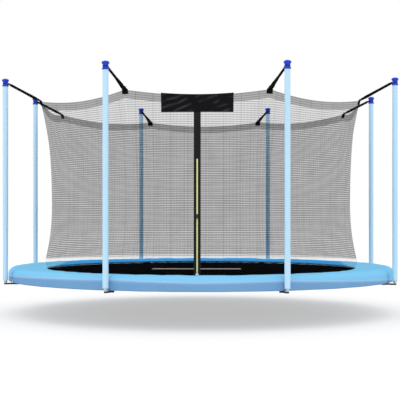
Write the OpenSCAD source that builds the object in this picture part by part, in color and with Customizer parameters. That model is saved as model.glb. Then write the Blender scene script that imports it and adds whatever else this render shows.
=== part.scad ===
// Round trampoline top with an inner safety net.
// A ring of steel tube carries a black jump mat on coil springs. Eight sockets join the
// ring, take the legs from below and hold the padded net poles on arms.
// The net hangs from the pole caps and has a door with a zip.
// Millimetres. +Z is up, the origin is the ring's centre at the foot of the leg sockets,
// and the door faces -Y.

/* [Frame ring] */
// Radius of the ring at the tube's centre line
ring_r = 1835; // [1800:1:1860]
// Outer diameter of the ring tube
tube_d = 38; // [36:0.5:42]
// Wall of the ring tube
tube_wall = 1.8; // [1.2:0.1:2.5]
// Springs on each ring tube
springs_per_tube = 9; // [5:1:9]

/* [Leg sockets] */
// Length of a socket's sleeve along the ring, each way from its middle
sleeve_half = 70; // [60:1:74]
// Wall of the socket's sleeve
sleeve_wall = 3.25; // [2:0.25:4]
// Outer diameter of the leg tube that the socket takes
leg_d = 38; // [32:0.5:40]
// Depth of the leg bore
leg_depth = 64; // [50:1:90]
// Wall around the leg bore
stub_wall = 2.25; // [2:0.25:3]
// Solid metal between the leg bore and the sleeve
socket_web = 4.5; // [3:0.5:12]
// Width of the arm that carries a net pole
arm_w = 26; // [22:1:34]
// Height of the arm
arm_h = 14; // [10:0.5:15]
// Height of the arm's underside above the socket's foot
arm_lift = 1.5; // [0.5:0.5:2]
// Wall of the arm's channel
arm_wall = 3; // [2:0.5:4]
// Length of the spigot that enters a net pole
spigot_h = 90; // [60:1:140]

/* [Net poles] */
// Distance from the ring's centre line out to a pole's axis
pole_out = 105; // [90:1:140]
// Outer diameter of a net pole
pole_d = 25; // [22:0.5:30]
// Wall of a net pole
pole_wall = 1.5; // [1:0.1:2]
// Length of a net pole
pole_len = 1814; // [1750:1:2000]
// Outer diameter of the foam sleeve
foam_d = 48; // [40:1:50]
// Bare length of the pole below the foam sleeve
foam_foot = 28; // [20:1:60]

/* [Pole caps] */
// Diameter of the cap's collar
collar_d = 56; // [46:1:56]
// Height of the collar
collar_h = 14; // [8:1:18]
// Diameter of the neck that the net strap goes round
neck_d = 43; // [32:1:44]
// Height of the neck
neck_h = 25; // [20:1:34]
// Diameter of the cap's head
head_d = 62; // [48:1:64]
// Height of the head
head_h = 32; // [22:1:36]
// Length of the plug inside the pole
plug_h = 40; // [20:1:60]

/* [Jump mat and springs] */
// Radius of the jump mat
mat_r = 1575; // [1550:1:1590]
// Thickness of the mat's cloth
mat_t = 2.4; // [1.6:0.2:3]
// Width of the folded hem at the mat's edge
mat_hem_w = 45; // [30:1:60]
// Thickness of the hem
mat_hem_t = 4.6; // [3.4:0.2:6]
// Length of a side of the triangular ring at each spring
tri_side = 40; // [36:1:46]
// Wire diameter of the triangular ring
tri_wire = 5; // [4:0.5:5]
// Width of the webbing loop that holds a triangular ring
loop_w = 22; // [16:1:22]
// Outer diameter of a spring
spring_d = 25; // [20:0.5:25]
// Wire diameter of a spring
spring_wire = 3.2; // [2.6:0.2:3.4]
// Height of the springs above the ring tube's centre line
spring_lift = 9; // [7:0.5:10]

/* [Safety pad] */
// Distance that the pad reaches beyond the ring's centre line
pad_over = 35; // [32:1:40]
// Width of the pad
pad_w = 360; // [320:1:380]
// Thickness of the pad at its inner edge
pad_edge_t = 17; // [10:1:22]
// Thickness of the pad at its crest
pad_crest_t = 31.2; // [24:0.2:40]
// Length of the skirt below the pad
skirt_len = 96; // [60:1:97]
// Thickness of the skirt
skirt_t = 4; // [2:0.5:5]

/* [Safety net] */
// Height of the net's top edge at its corners
net_top_z = 1704; // [1600:1:1740]
// Radius of the net's corners
net_corner_r = 1612; // [1560:1:1650]
// Height of the net's narrowest section
net_waist_z = 730; // [500:1:900]
// Radius of the net's narrowest section at the middle of a panel
net_waist_r = 1462; // [1420:1:1500]
// Extra radius of that section at the corners
net_fullness = 28; // [0:1:60]
// Height at which the panels meet the net's skirt
net_foot_z = 200; // [180:1:260]
// Distance that the net stands outside the pad's inner edge there
net_flare = 23; // [5:1:40]
// Thickness of the net's cloth
net_t = 2; // [1:0.5:4]
// Width of a cord of the net
cord_w = 16; // [8:1:30]
// Gaps in a panel, across and up
net_gaps = 6; // [2:1:6]
// Height of the hem band
hem_h = 70; // [40:1:90]
// Thickness of the hem band
hem_t = 3; // [2:0.5:5]
// Sag of the hem between two corners
hem_sag = 49; // [10:1:90]

/* [Door] */
// Width of the strip that carries the zip
strip_w = 59; // [44:1:80]
// Thickness of the strip
strip_t = 2.5; // [1.5:0.5:4]
// Height of the strip's lower end
strip_foot_z = 134; // [133:1:160]
// Height of the zip's upper end
zip_top_z = 1114; // [900:1:1300]
// Width of the zip's tape
zip_w = 12; // [10:0.5:16]
// Thickness of the zip's tape
zip_t = 1.2; // [0.8:0.1:1.6]
// Height of the slider on the zip
slider_z = 632; // [400:1:800]
// Length of the slider
slider_len = 30; // [24:1:36]
// Length of the pull tab
pull_len = 34; // [30:1:60]
// Width of the banner
banner_w = 614; // [400:2:620]
// Height of the banner's lower edge
banner_foot_z = 1512; // [1440:1:1560]
// Thickness of the banner
banner_t = 2; // [1:0.5:4]

/* [Net straps] */
// Width of a net strap, which stands upright
strap_w = 18; // [14:1:18]
// Thickness of the folded strap
strap_t = 7; // [4:0.2:8]
// Length over which the strap is split in two legs
strap_split = 160; // [60:1:180]
// Width of the loop at the end of a leg
leg_loop_w = 10; // [8:0.5:10]
// Diameter of the cord loop round the cap's neck
neck_cord = 4; // [3:0.5:6]
// Width of the wire ring at a net corner
corner_side = 46; // [44:1:54]
// Distance between the two bars of that ring
corner_reach = 18; // [16:1:26]
// Width of the sewn tab at a net corner
tab_w = 58; // [40:1:64]
// Height of the sewn tab
tab_h = 44; // [30:1:60]
// Thickness of the sewn tab
tab_t = 4; // [3:0.5:6]

/* [Hidden] */

// Fine enough for the ring's long arcs, and for small round sections
arc_fn = 360;
wire_fn = 32;
$fn = 64;

// Distance between pieces that are seated on each other
seat = 0.3;
// Clearance of a tube in its socket, of a plug in its tube and of a bolt in its hole
slip = 0.25;
// Radial clearance of the pull tab on its pin
pin_fit = 0.06;
// Overrun of a cut past the face that it opens
past = 1;
// Extra radius of a wire where it is bent
bend_swell = 0.15;

pole_count = 8;
sector = 360 / pole_count;
half_sector = sector / 2;
door_panel = 6;

// Ring and sockets
tube_r = tube_d / 2;
tube_bore_r = tube_r - tube_wall;
sleeve_r = tube_r + slip + sleeve_wall;
leg_bore_r = leg_d / 2 + slip;
stub_r = leg_bore_r + stub_wall;
ring_z = leg_depth + socket_web + sleeve_r;
tube_end_gap = 3;
screw_r = 2.4;
screw_len = 14;
screw_out = 45;
screw_head_r = 5;
screw_head_h = 3.5;

// Net poles, bolts and caps
pole_r = ring_r + pole_out;
pole_bore_r = pole_d / 2 - pole_wall;
arm_top_z = arm_lift + arm_h;
pole_foot_z = arm_top_z + seat;
pole_top_z = pole_foot_z + pole_len;
foam_foot_z = pole_foot_z + foam_foot;
bolt_z = pole_foot_z + foam_foot / 2;
bolt_r = 3;
bolt_head_r = 5.8;
bolt_head_h = 4;
nut_h = 5;
cap_z = pole_top_z + seat;
neck_mid_z = cap_z + collar_h + neck_h / 2;

// Jump mat, its rings and the springs
spring_z = ring_z + spring_lift;
mat_top_z = spring_z + mat_t / 2;
tri_bend = 5;
loop_bore_r = tri_wire / 2 + seat;
loop_wall = 1.8;
tri_bar_x = mat_r + loop_bore_r + 0.2;
tri_apex_x = tri_bar_x + tri_side * sin(60) - tri_bend;
spring_wire_r = spring_wire / 2;
hook_bend = 4;
hook_drop = 6;
coil_lead_in = 14;
coil_lead_out = 20;
coil_taper = 10;
hole_r = hook_bend - 0.5;
hook_x = ring_r - sqrt(pow(tube_bore_r, 2) - pow(spring_lift - hook_bend, 2)) + seat + spring_wire_r;
ring_hook_step = tri_wire / 2 + seat + spring_wire_r;
spring_pitch = sector / springs_per_tube;

// Pad
pad_z = ring_z + sleeve_r + seat;
pad_out_r = ring_r + pad_over;
pad_in_r = pad_out_r - pad_w;
pad_gap = 0.6;
crest_in = 60;
roll_h = 65;

// Net
net_foot_r = pad_in_r + net_flare;
skirt_foot_in = 12;
skirt_foot_r = pad_in_r - skirt_foot_in;
panel_gap = 0.4;
edge_u = 1 - panel_gap / 2 / (net_corner_r * half_sector * PI / 180);
seam = 0.3;

// Door
strip_y = -(max(net_t, hem_t) / 2 + seat);
strip_out_y = strip_y - strip_t;
tape_out_y = strip_out_y - zip_t;
ridge_w = 5;
ridge_h = 2.2;
ridge_out_y = tape_out_y - ridge_h;
stop_w = 24;
stop_h = 14;
stop_t = 4;
slider_w = 18;
slider_fit = 0.4;
slider_t = 3;
slider_out_y = ridge_out_y - slider_fit - slider_t;
pin_r = 1.6;
eye_r = 3.2;
eye_y = slider_out_y - 0.2 - eye_r;
eye_up = 6;
post_t = 3;
pull_w = 9.6;
pull_t = 2.2;
post_in = pull_w / 2 + seat;
door_lean = atan((net_foot_r - net_top_r(0)) / (net_top_z - net_foot_z));
banner_gap = 1.8;

// Net straps and corner rings
corner_wire = 5;
corner_bend = 5;
hem_corner_lean = atan((net_r(1, net_top_z) - net_r(1, net_top_z - hem_h)) / hem_h);
tab_over = 4;
corner_loop_wall = 2;
corner_loop_r = corner_wire / 2 + seat + corner_loop_wall;
corner_loop_w = 22;
corner_bar_x = net_corner_r + hem_t / 2 + seat + tab_t / 2;
corner_bar_z = net_top_z + tab_over + corner_loop_r - 2;
cord_loop_r = neck_d / 2 + seat + neck_cord / 2;
strap_end_x = pole_r - cord_loop_r;
strap_rise = atan((neck_mid_z - corner_bar_z) / (strap_end_x - corner_bar_x));
strap_span = (strap_end_x - corner_bar_x) / cos(strap_rise);
leg_in = corner_bend + leg_loop_w / 2;
leg_t = strap_t / 2;
leg_h = strap_w - 2;
// The tab's wings follow the two panels that meet at the corner.
tab_turn = atan(tab_w / 2 / net_corner_r);
tab_foot_z = net_top_z - tab_h;
tab_wing_r = net_r(1 - tab_turn / half_sector, tab_foot_z);
tab_drop = (net_r(1, tab_foot_z) - tab_wing_r * cos(tab_turn)) * cos(hem_corner_lean);

function pole_az(k) = half_sector + sector * (k - 1);

function polar(a, r, z) = [r * cos(a), r * sin(a), z];

// The net's wall, by u across a panel from -1 to 1 and by height.
// Its top edge is straight between two corners, its foot is round, and it is drawn in at the waist.
function net_top_r(u) = net_corner_r * cos(half_sector) / cos(half_sector * u);

function net_waist_at(u) = net_waist_r + net_fullness * u * u;

function net_r(u, z) =
    let (waist = net_waist_at(u))
    z > net_waist_z
        ? waist + (net_top_r(u) - waist) * pow((z - net_waist_z) / (net_top_z - net_waist_z), 2)
        : waist + (net_foot_r - waist) * pow((net_waist_z - z) / (net_waist_z - net_foot_z), 2);

// The door's middle is straight, because the zip's strip holds it so.
function door_r(z) =
    net_foot_r + (net_top_r(0) - net_foot_r) * (z - net_foot_z) / (net_top_z - net_foot_z);

function wall_r(u, z, k) =
    net_r(u, z) + (k == door_panel ? (door_r(z) - net_r(0, z)) * pow(1 - u * u, 2) : 0);

function hem_top_z(u) = net_top_z - hem_sag * (1 - u * u);

// Edges of the cords between lo and hi, each cord w wide.
function cord_edges(lo, hi, w, gaps) =
    [for (i = [0 : gaps]) for (side = [0, 1]) lo + (hi - lo - w) * i / gaps + w * side];

// Points of a cloth along the net's wall: rows of [azimuth, height, radius].
function wall_rows(us, vs, k, low, high, out) = [
    for (v = vs) [
        for (i = [0 : len(us) - 1])
            let (u = us[i], z = low[i] + (high[i] - low[i]) * v)
            [sector * k + half_sector * u, z, wall_r(u, z, k) + out]
    ]
];

// A closed cloth of thickness t along rows of [azimuth, height, radius].
// With gaps, every second cell both ways is left open.
module cloth(rows, t, gaps = false) {
    n_rows = len(rows);
    n_cols = len(rows[0]);
    function id(side, j, i) = (side * n_rows + j) * n_cols + i;
    function filled(j, i) =
        j >= 0 && i >= 0 && j < n_rows - 1 && i < n_cols - 1 && !(gaps && j % 2 == 1 && i % 2 == 1);
    points = [
        for (side = [1, -1]) for (row = rows) for (p = row) polar(p[0], p[2] + side * t / 2, p[1])
    ];
    quads = [
        for (j = [0 : n_rows - 2]) for (i = [0 : n_cols - 2]) if (filled(j, i)) each [
            [id(0, j, i), id(0, j + 1, i), id(0, j + 1, i + 1), id(0, j, i + 1)],
            [id(1, j, i), id(1, j, i + 1), id(1, j + 1, i + 1), id(1, j + 1, i)],
            if (!filled(j, i - 1)) [id(0, j + 1, i), id(0, j, i), id(1, j, i), id(1, j + 1, i)],
            if (!filled(j, i + 1))
                [id(0, j, i + 1), id(0, j + 1, i + 1), id(1, j + 1, i + 1), id(1, j, i + 1)],
            if (!filled(j - 1, i)) [id(0, j, i), id(0, j, i + 1), id(1, j, i + 1), id(1, j, i)],
            if (!filled(j + 1, i))
                [id(0, j + 1, i + 1), id(0, j + 1, i), id(1, j + 1, i), id(1, j + 1, i + 1)]
        ]
    ];
    polyhedron(points, [for (q = quads) each [[q[0], q[1], q[2]], [q[0], q[2], q[3]]]]);
}

// An arc of round bar of radius r along the ring, from azimuth a0 to a1.
module ring_bar(r, a0, a1) {
    translate([0, 0, ring_z])
        rotate([0, 0, a0])
            rotate_extrude(angle = a1 - a0, $fn = arc_fn)
                translate([ring_r, 0])
                    circle(r = r, $fn = 48);
}

// A part turn of bent wire, in the XY plane about the origin.
module elbow(bend, r, angle) {
    rotate_extrude(angle = angle, $fn = wire_fn)
        translate([bend, 0])
            circle(r = r, $fn = wire_fn);
}

// A wire bent into a triangle with round corners. Its bar lies on Y and its apex points to +X.
module wire_triangle(side, bend, wire_d) {
    inset = bend / tan(30);
    centre_x = side / 2 * tan(30);
    for (turn = [0, 120, 240])
        translate([centre_x, 0, 0])
            rotate([0, 0, turn])
                translate([-centre_x, 0, 0]) {
                    rotate([90, 0, 0])
                        cylinder(d = wire_d, h = side - 2 * inset + past, center = true, $fn = wire_fn);
                    translate([bend, side / 2 - inset, 0])
                        rotate([0, 0, 60])
                            elbow(bend, wire_d / 2 + bend_swell, 120);
                }
}

// A wire bent into a rectangle with round corners. One bar lies on Y, the other at X = reach.
module wire_rectangle(width, reach, bend, wire_d) {
    corner_y = width / 2 - bend;
    for (x = [0, reach])
        translate([x, 0, 0])
            rotate([90, 0, 0])
                cylinder(d = wire_d, h = 2 * corner_y + past, center = true, $fn = wire_fn);
    for (side = [-1, 1])
        translate([reach / 2, side * width / 2, 0])
            rotate([0, 90, 0])
                cylinder(d = wire_d, h = reach - 2 * bend + past, center = true, $fn = wire_fn);
    for (corner = [[reach - bend, corner_y, 0], [bend, corner_y, 90], [bend, -corner_y, 180],
                   [reach - bend, -corner_y, 270]])
        translate([corner[0], corner[1], 0])
            rotate([0, 0, corner[2]])
                elbow(bend, wire_d / 2 + bend_swell, 90);
}

module at_pole(k) {
    rotate([0, 0, pole_az(k)]) children();
}

module at_each_pole() {
    for (k = [1 : pole_count]) at_pole(k) children();
}

// At each spring of the ring tubes from one number to another.
module at_springs(first = 1, last = pole_count) {
    for (k = [first : last])
        for (j = [0 : springs_per_tube - 1])
            rotate([0, 0, pole_az(k) + spring_pitch * (j + 0.5)]) children();
}

// The door's own frame: Z runs up the middle of the door and -Y points out of it.
module on_door() {
    translate([0, -net_foot_r, net_foot_z]) rotate([-door_lean, 0, 0]) children();
}

function door_s(z) = (z - net_foot_z) / cos(door_lean);

module screw_holes(r) {
    for (side = [-1, 1])
        rotate([0, 0, side * screw_out / ring_r * 180 / PI])
            translate([ring_r, 0, ring_z - sleeve_r - past])
                cylinder(r = r, h = sleeve_r, $fn = wire_fn);
}

module frame_tube(k) {
    end_deg = tube_end_gap / ring_r * 180 / PI;
    a0 = pole_az(k) + end_deg;
    a1 = pole_az(k) + sector - end_deg;
    color("silver")
        difference() {
            ring_bar(tube_r, a0, a1);
            ring_bar(tube_bore_r, a0 - end_deg, a1 + end_deg);
            for (j = [0 : springs_per_tube - 1])
                rotate([0, 0, pole_az(k) + spring_pitch * (j + 0.5)])
                    translate([ring_r - tube_r - past, 0, spring_z])
                        rotate([0, 90, 0])
                            cylinder(r = hole_r, h = tube_r, $fn = wire_fn);
            at_pole(k) screw_holes(screw_r + slip);
            at_pole(k + 1) screw_holes(screw_r + slip);
        }
}

module leg_socket(k) {
    half_deg = sleeve_half / ring_r * 180 / PI;
    bore_deg = half_deg * 1.1;
    arm_from = ring_r + leg_bore_r;
    color("dimgray")
        at_pole(k)
            difference() {
                union() {
                    ring_bar(sleeve_r, -half_deg, half_deg);
                    translate([ring_r, 0, 0])
                        cylinder(r = stub_r, h = ring_z - tube_r);
                    translate([arm_from, -arm_w / 2, arm_lift])
                        cube([pole_r - arm_from, arm_w, arm_h]);
                    translate([pole_r, 0, arm_lift])
                        cylinder(d = arm_w, h = arm_h);
                    translate([pole_r, 0, arm_top_z - past])
                        cylinder(r = pole_bore_r - slip, h = spigot_h + past);
                }
                ring_bar(tube_r + slip, -bore_deg, bore_deg);
                translate([ring_r, 0, -past])
                    cylinder(r = leg_bore_r, h = leg_depth + past);
                translate([ring_r + stub_r + arm_wall, -arm_w / 2 + arm_wall, arm_lift - past])
                    cube([
                        pole_out - stub_r - arm_wall,
                        arm_w - 2 * arm_wall,
                        arm_h - arm_wall + past
                    ]);
                translate([pole_r - pole_d, 0, bolt_z])
                    rotate([0, 90, 0])
                        cylinder(r = bolt_r + slip, h = 2 * pole_d, $fn = wire_fn);
                screw_holes(screw_r + slip);
            }
}

module net_pole(k) {
    color("gainsboro")
        at_pole(k)
            translate([pole_r, 0, 0])
                difference() {
                    translate([0, 0, pole_foot_z])
                        cylinder(d = pole_d, h = pole_len);
                    translate([0, 0, pole_foot_z - past])
                        cylinder(r = pole_bore_r, h = pole_len + 2 * past);
                    translate([-pole_d, 0, bolt_z])
                        rotate([0, 90, 0])
                            cylinder(r = bolt_r + slip, h = 2 * pole_d, $fn = wire_fn);
                }
}

module pole_sleeves() {
    color("lightblue")
        at_each_pole()
            translate([pole_r, 0, foam_foot_z])
                difference() {
                    cylinder(d = foam_d, h = pole_top_z - foam_foot_z);
                    translate([0, 0, -past])
                        cylinder(r = pole_d / 2 + seat, h = pole_top_z - foam_foot_z + 2 * past);
                }
}

// A bobbin: collar, neck and a domed head, with a plug below that fits the pole's bore.
module pole_caps() {
    collar_r = collar_d / 2;
    neck_r = neck_d / 2;
    head_r = head_d / 2;
    edge = 2;
    neck_top = collar_h + neck_h;
    brim_z = neck_top + head_h * 0.42;
    dome_h = head_h * 0.5;
    color("royalblue")
        at_each_pole()
            translate([pole_r, 0, cap_z])
                rotate_extrude()
                    polygon(concat(
                        [
                            [0, -plug_h],
                            [pole_bore_r - slip, -plug_h],
                            [pole_bore_r - slip, 0],
                            [collar_r - edge, 0],
                            [collar_r, edge],
                            [collar_r, collar_h - 2 * edge],
                            [collar_r - edge, collar_h - edge],
                            [neck_r, collar_h],
                            [neck_r, neck_top - edge],
                            [head_r - edge, brim_z - 2 * edge],
                            [head_r, brim_z]
                        ],
                        [
                            for (a = [0 : 18 : 72])
                                [head_r * cos(a), neck_top + head_h - dome_h + dome_h * sin(a)]
                        ],
                        [[0, neck_top + head_h]]
                    ));
}

module jump_mat() {
    hem_in = mat_r - mat_hem_w;
    color("black")
        union() {
            translate([0, 0, spring_z])
                rotate_extrude($fn = arc_fn)
                    polygon([
                        [0, -mat_t / 2],
                        [hem_in, -mat_t / 2],
                        [hem_in, -mat_hem_t / 2],
                        [mat_r, -mat_hem_t / 2],
                        [mat_r, mat_hem_t / 2],
                        [hem_in, mat_hem_t / 2],
                        [hem_in, mat_t / 2],
                        [0, mat_t / 2]
                    ]);
            at_springs()
                translate([tri_bar_x, 0, spring_z])
                    rotate([90, 0, 0])
                        difference() {
                            cylinder(r = loop_bore_r + loop_wall, h = loop_w, center = true, $fn = wire_fn);
                            cylinder(r = loop_bore_r, h = loop_w + 2 * past, center = true, $fn = wire_fn);
                        }
        }
}

// The triangular rings along one half of the mat's edge.
module mat_rings(half) {
    tubes = pole_count / 2;
    color("silver")
        at_springs(tubes * (half - 1) + 1, tubes * half)
            translate([tri_bar_x, 0, spring_z])
                wire_triangle(tri_side, tri_bend, tri_wire);
}

// A closed-coil spring with a hook down through the ring tube and a hook over the mat's ring.
module spring() {
    body_in = tri_apex_x + coil_lead_in;
    body_out = hook_x - coil_lead_out;
    leg_x = tri_apex_x - ring_hook_step;
    translate([body_in, 0, 0])
        rotate([0, 90, 0])
            rotate_extrude($fn = wire_fn)
                polygon([
                    [0, 0],
                    [spring_d / 2 - spring_wire, 0],
                    [spring_d / 2, spring_wire],
                    [spring_d / 2, body_out - body_in - coil_taper],
                    [spring_wire, body_out - body_in],
                    [spring_wire_r, body_out - body_in],
                    [spring_wire_r, hook_x - hook_bend - body_in],
                    [0, hook_x - hook_bend - body_in]
                ]);
    translate([hook_x - hook_bend, 0, -hook_bend])
        rotate([90, 0, 0])
            elbow(hook_bend, spring_wire_r, 90);
    translate([hook_x, 0, -hook_bend - hook_drop])
        cylinder(r = spring_wire_r, h = hook_drop, $fn = wire_fn);
    translate([leg_x + hook_bend, 0, ring_hook_step])
        rotate([0, 90, 0])
            cylinder(r = spring_wire_r, h = body_in - leg_x - hook_bend + 2, $fn = wire_fn);
    translate([leg_x + hook_bend, 0, ring_hook_step - hook_bend])
        rotate([90, 0, 0])
            rotate([0, 0, 90])
                elbow(hook_bend, spring_wire_r, 90);
    translate([leg_x, 0, ring_hook_step - hook_bend - hook_drop])
        cylinder(r = spring_wire_r, h = hook_drop, $fn = wire_fn);
}

module springs() {
    color("lightgray")
        at_springs()
            translate([0, 0, spring_z])
                spring();
}

// One section of the pad: a crowned cushion over the springs and the ring, with a skirt.
module frame_pad(k) {
    gap_deg = pad_gap / 2 / pad_in_r * 180 / PI;
    crest_r = pad_out_r - crest_in;
    crest_z = pad_z + pad_crest_t;
    edge_z = pad_z + pad_edge_t;
    skirt_z = pad_z - skirt_len;
    lip = 12;
    under_r = ring_r + sleeve_r + 2;
    color("skyblue")
        rotate([0, 0, pole_az(k) + gap_deg])
            rotate_extrude(angle = sector - 2 * gap_deg, $fn = arc_fn)
                polygon(concat(
                    [
                        [pad_out_r - skirt_t, skirt_z],
                        [pad_out_r, skirt_z],
                        [pad_out_r, crest_z - roll_h]
                    ],
                    [
                        for (a = [15 : 15 : 90])
                            [crest_r + crest_in * cos(a), crest_z - roll_h + roll_h * sin(a)]
                    ],
                    [
                        for (t = [1 : -0.2 : 0.1])
                            [
                                pad_in_r + lip + (crest_r - pad_in_r - lip) * (t - 0.1),
                                edge_z + (crest_z - edge_z) * sin(90 * (t - 0.1))
                            ]
                    ],
                    [
                        [pad_in_r + lip, edge_z],
                        [pad_in_r + lip / 4, edge_z - pad_edge_t / 4],
                        [pad_in_r, edge_z - pad_edge_t * 0.6],
                        [pad_in_r + lip / 3, pad_z],
                        [under_r, pad_z],
                        [pad_out_r - skirt_t, pad_z - 2 * skirt_t]
                    ]
                ));
}

module net_panel(k) {
    cord_u = cord_w / (net_waist_r * half_sector * PI / 180);
    low_seam = net_foot_z;
    us = cord_edges(-edge_u, edge_u, cord_u, net_gaps);
    vs = cord_edges(0, 1, cord_w / (net_top_z - net_foot_z), net_gaps);
    low = [for (u = us) low_seam];
    high = [for (u = us) hem_top_z(u) - hem_h - seam];
    color("dimgray") cloth(wall_rows(us, vs, k, low, high, 0), net_t, true);
}

module net_hem() {
    cord_u = cord_w / (net_waist_r * half_sector * PI / 180);
    us = cord_edges(-edge_u, edge_u, cord_u, net_gaps);
    low = [for (u = us) hem_top_z(u) - hem_h];
    high = [for (u = us) hem_top_z(u)];
    color("gray")
        for (k = [1 : pole_count])
            cloth(wall_rows(us, [0, 1], k, low, high, 0), hem_t);
}

// The net's lowest band: it curves in from the panels' foot, inside the pad, to the mat.
module net_skirt() {
    steps = 8;
    foot = mat_top_z + seat;
    top = net_foot_z - seam;
    path = [
        for (i = [0 : steps])
            let (t = i / steps)
            [skirt_foot_r + (net_foot_r - skirt_foot_r) * t * t * (3 - 2 * t), foot + (top - foot) * t]
    ];
    color("dimgray")
        rotate_extrude($fn = arc_fn)
            polygon(concat(
                [for (p = path) [p[0] + net_t / 2, p[1]]],
                [for (i = [steps : -1 : 0]) [path[i][0] - net_t / 2, path[i][1]]]
            ));
}

module banner() {
    steps = 12;
    end_u = asin(banner_w / 2 / net_top_r(0.5)) / half_sector;
    us = [for (i = [0 : steps]) end_u * (2 * i / steps - 1)];
    low = [for (u = us) banner_foot_z];
    high = [for (u = us) hem_top_z(u)];
    out = hem_t / 2 + banner_gap + banner_t / 2;
    color("black") cloth(wall_rows(us, [0, 0.5, 1], door_panel, low, high, out), banner_t);
}

module door_strip() {
    foot = door_s(strip_foot_z);
    color("black")
        on_door()
            translate([-strip_w / 2, strip_out_y, foot])
                cube([strip_w, strip_t, door_s(banner_foot_z) - seat - foot]);
}

module zip_chain() {
    foot = door_s(strip_foot_z) + stop_h + seat;
    length = door_s(zip_top_z) - foot;
    color("khaki")
        on_door()
            union() {
                translate([-zip_w / 2, tape_out_y, foot])
                    cube([zip_w, zip_t, length]);
                translate([-ridge_w / 2, ridge_out_y, foot])
                    cube([ridge_w, ridge_h + zip_t / 2, length]);
            }
}

module zip_stop() {
    color("ivory")
        on_door()
            translate([-stop_w / 2, strip_out_y - stop_t, door_s(strip_foot_z)])
                cube([stop_w, stop_t, stop_h]);
}

module zip_slider() {
    groove_w = ridge_w / 2 + slider_fit;
    flange_y = tape_out_y - seat;
    color("dimgray")
        on_door()
            translate([0, 0, door_s(slider_z)])
                union() {
                    translate([0, 0, -slider_len / 2])
                        linear_extrude(slider_len)
                            polygon([
                                [-slider_w / 2, slider_out_y],
                                [slider_w / 2, slider_out_y],
                                [slider_w / 2, flange_y],
                                [groove_w, flange_y],
                                [groove_w, slider_out_y + slider_t],
                                [-groove_w, slider_out_y + slider_t],
                                [-groove_w, flange_y],
                                [-slider_w / 2, flange_y]
                            ]);
                    for (side = [-1, 1])
                        translate([side * (post_in + post_t / 2), 0, eye_up])
                            rotate([0, 90, 0])
                                linear_extrude(post_t, center = true)
                                    union() {
                                        translate([0, eye_y])
                                            circle(r = eye_r);
                                        translate([-eye_r, eye_y])
                                            square([2 * eye_r, slider_out_y + slider_t / 2 - eye_y]);
                                    }
                    translate([0, eye_y, eye_up])
                        rotate([0, 90, 0])
                            cylinder(r = pin_r, h = 2 * post_in + post_t, center = true, $fn = wire_fn);
                }
}

module zip_pull() {
    color("dimgray")
        on_door()
            translate([0, eye_y, door_s(slider_z) + eye_up])
                difference() {
                    union() {
                        rotate([0, 90, 0])
                            cylinder(r = eye_r, h = pull_w, center = true, $fn = wire_fn);
                        translate([-pull_w / 2, -pull_t / 2, pull_w / 2 - pull_len])
                            cube([pull_w, pull_t, pull_len - pull_w / 2]);
                        translate([0, pull_t / 2, pull_w / 2 - pull_len])
                            rotate([90, 0, 0])
                                cylinder(d = pull_w, h = pull_t, $fn = wire_fn);
                    }
                    rotate([0, 90, 0])
                        cylinder(r = pin_r + pin_fit, h = pull_w + 2 * past, center = true, $fn = wire_fn);
                    translate([0, pull_t, pull_w / 2 - pull_len])
                        rotate([90, 0, 0])
                            cylinder(d = pull_w / 2, h = 2 * pull_t, $fn = wire_fn);
                }
}

module at_corner_ring() {
    translate([corner_bar_x, 0, corner_bar_z]) rotate([0, -strap_rise, 0]) children();
}

// A strap: a cord loop round the cap's neck, a folded tape that stands upright, and below
// the split one leg from each half, looped round the outer bar of the corner's ring.
module net_straps() {
    leg_y = corner_side / 2 - leg_in;
    join_y = leg_t / 2;
    split_x = corner_reach + strap_split;
    leg_turn = atan((leg_y - join_y) / strap_split);
    color("black")
        at_each_pole() {
            translate([pole_r, 0, neck_mid_z])
                rotate_extrude()
                    translate([cord_loop_r, 0])
                        circle(d = neck_cord, $fn = wire_fn);
            difference() {
                at_corner_ring()
                    translate([split_x, -strap_t / 2, -strap_w / 2])
                        cube([strap_span - split_x, strap_t, strap_w]);
                translate([pole_r, 0, cap_z])
                    cylinder(r = neck_d / 2 + seat, h = collar_h + neck_h + head_h);
            }
            at_corner_ring()
                difference() {
                    for (side = [-1, 1])
                        translate([corner_reach, side * leg_y, 0]) {
                            rotate([90, 0, 0])
                                cylinder(
                                    r = corner_wire / 2 + seat + leg_t,
                                    h = leg_loop_w,
                                    center = true,
                                    $fn = wire_fn
                                );
                            rotate([0, 0, -side * leg_turn])
                                translate([0, -leg_t / 2, -leg_h / 2])
                                    cube([strap_split / cos(leg_turn) + leg_h, leg_t, leg_h]);
                        }
                    translate([corner_reach, 0, 0])
                        rotate([90, 0, 0])
                            cylinder(
                                r = corner_wire / 2 + seat,
                                h = corner_side,
                                center = true,
                                $fn = wire_fn
                            );
                }
        }
}

module corner_rings() {
    color("dimgray")
        at_each_pole()
            at_corner_ring()
                wire_rectangle(corner_side, corner_reach, corner_bend, corner_wire);
}

// A tab folded round the hem's corner, with a loop along its top for the corner ring.
module corner_tabs() {
    half = tab_w / 2;
    tilt_x = net_corner_r + hem_t / 2 + seat;
    color("black")
        at_each_pole()
            difference() {
                union() {
                    translate([tilt_x, 0, net_top_z])
                        rotate([0, hem_corner_lean, 0])
                            translate([0, 0, tab_over - tab_h])
                                linear_extrude(tab_h)
                                    polygon([
                                        [0, 0],
                                        [-tab_drop, half],
                                        [tab_t - tab_drop, half],
                                        [tab_t, 0],
                                        [tab_t - tab_drop, -half],
                                        [-tab_drop, -half]
                                    ]);
                    translate([corner_bar_x, 0, corner_bar_z])
                        rotate([90, 0, 0])
                            cylinder(r = corner_loop_r, h = corner_loop_w, center = true, $fn = wire_fn);
                }
                translate([corner_bar_x, 0, corner_bar_z])
                    rotate([90, 0, 0])
                        cylinder(
                            r = corner_wire / 2 + seat,
                            h = tab_w + 2 * past,
                            center = true,
                            $fn = wire_fn
                        );
            }
}

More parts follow.
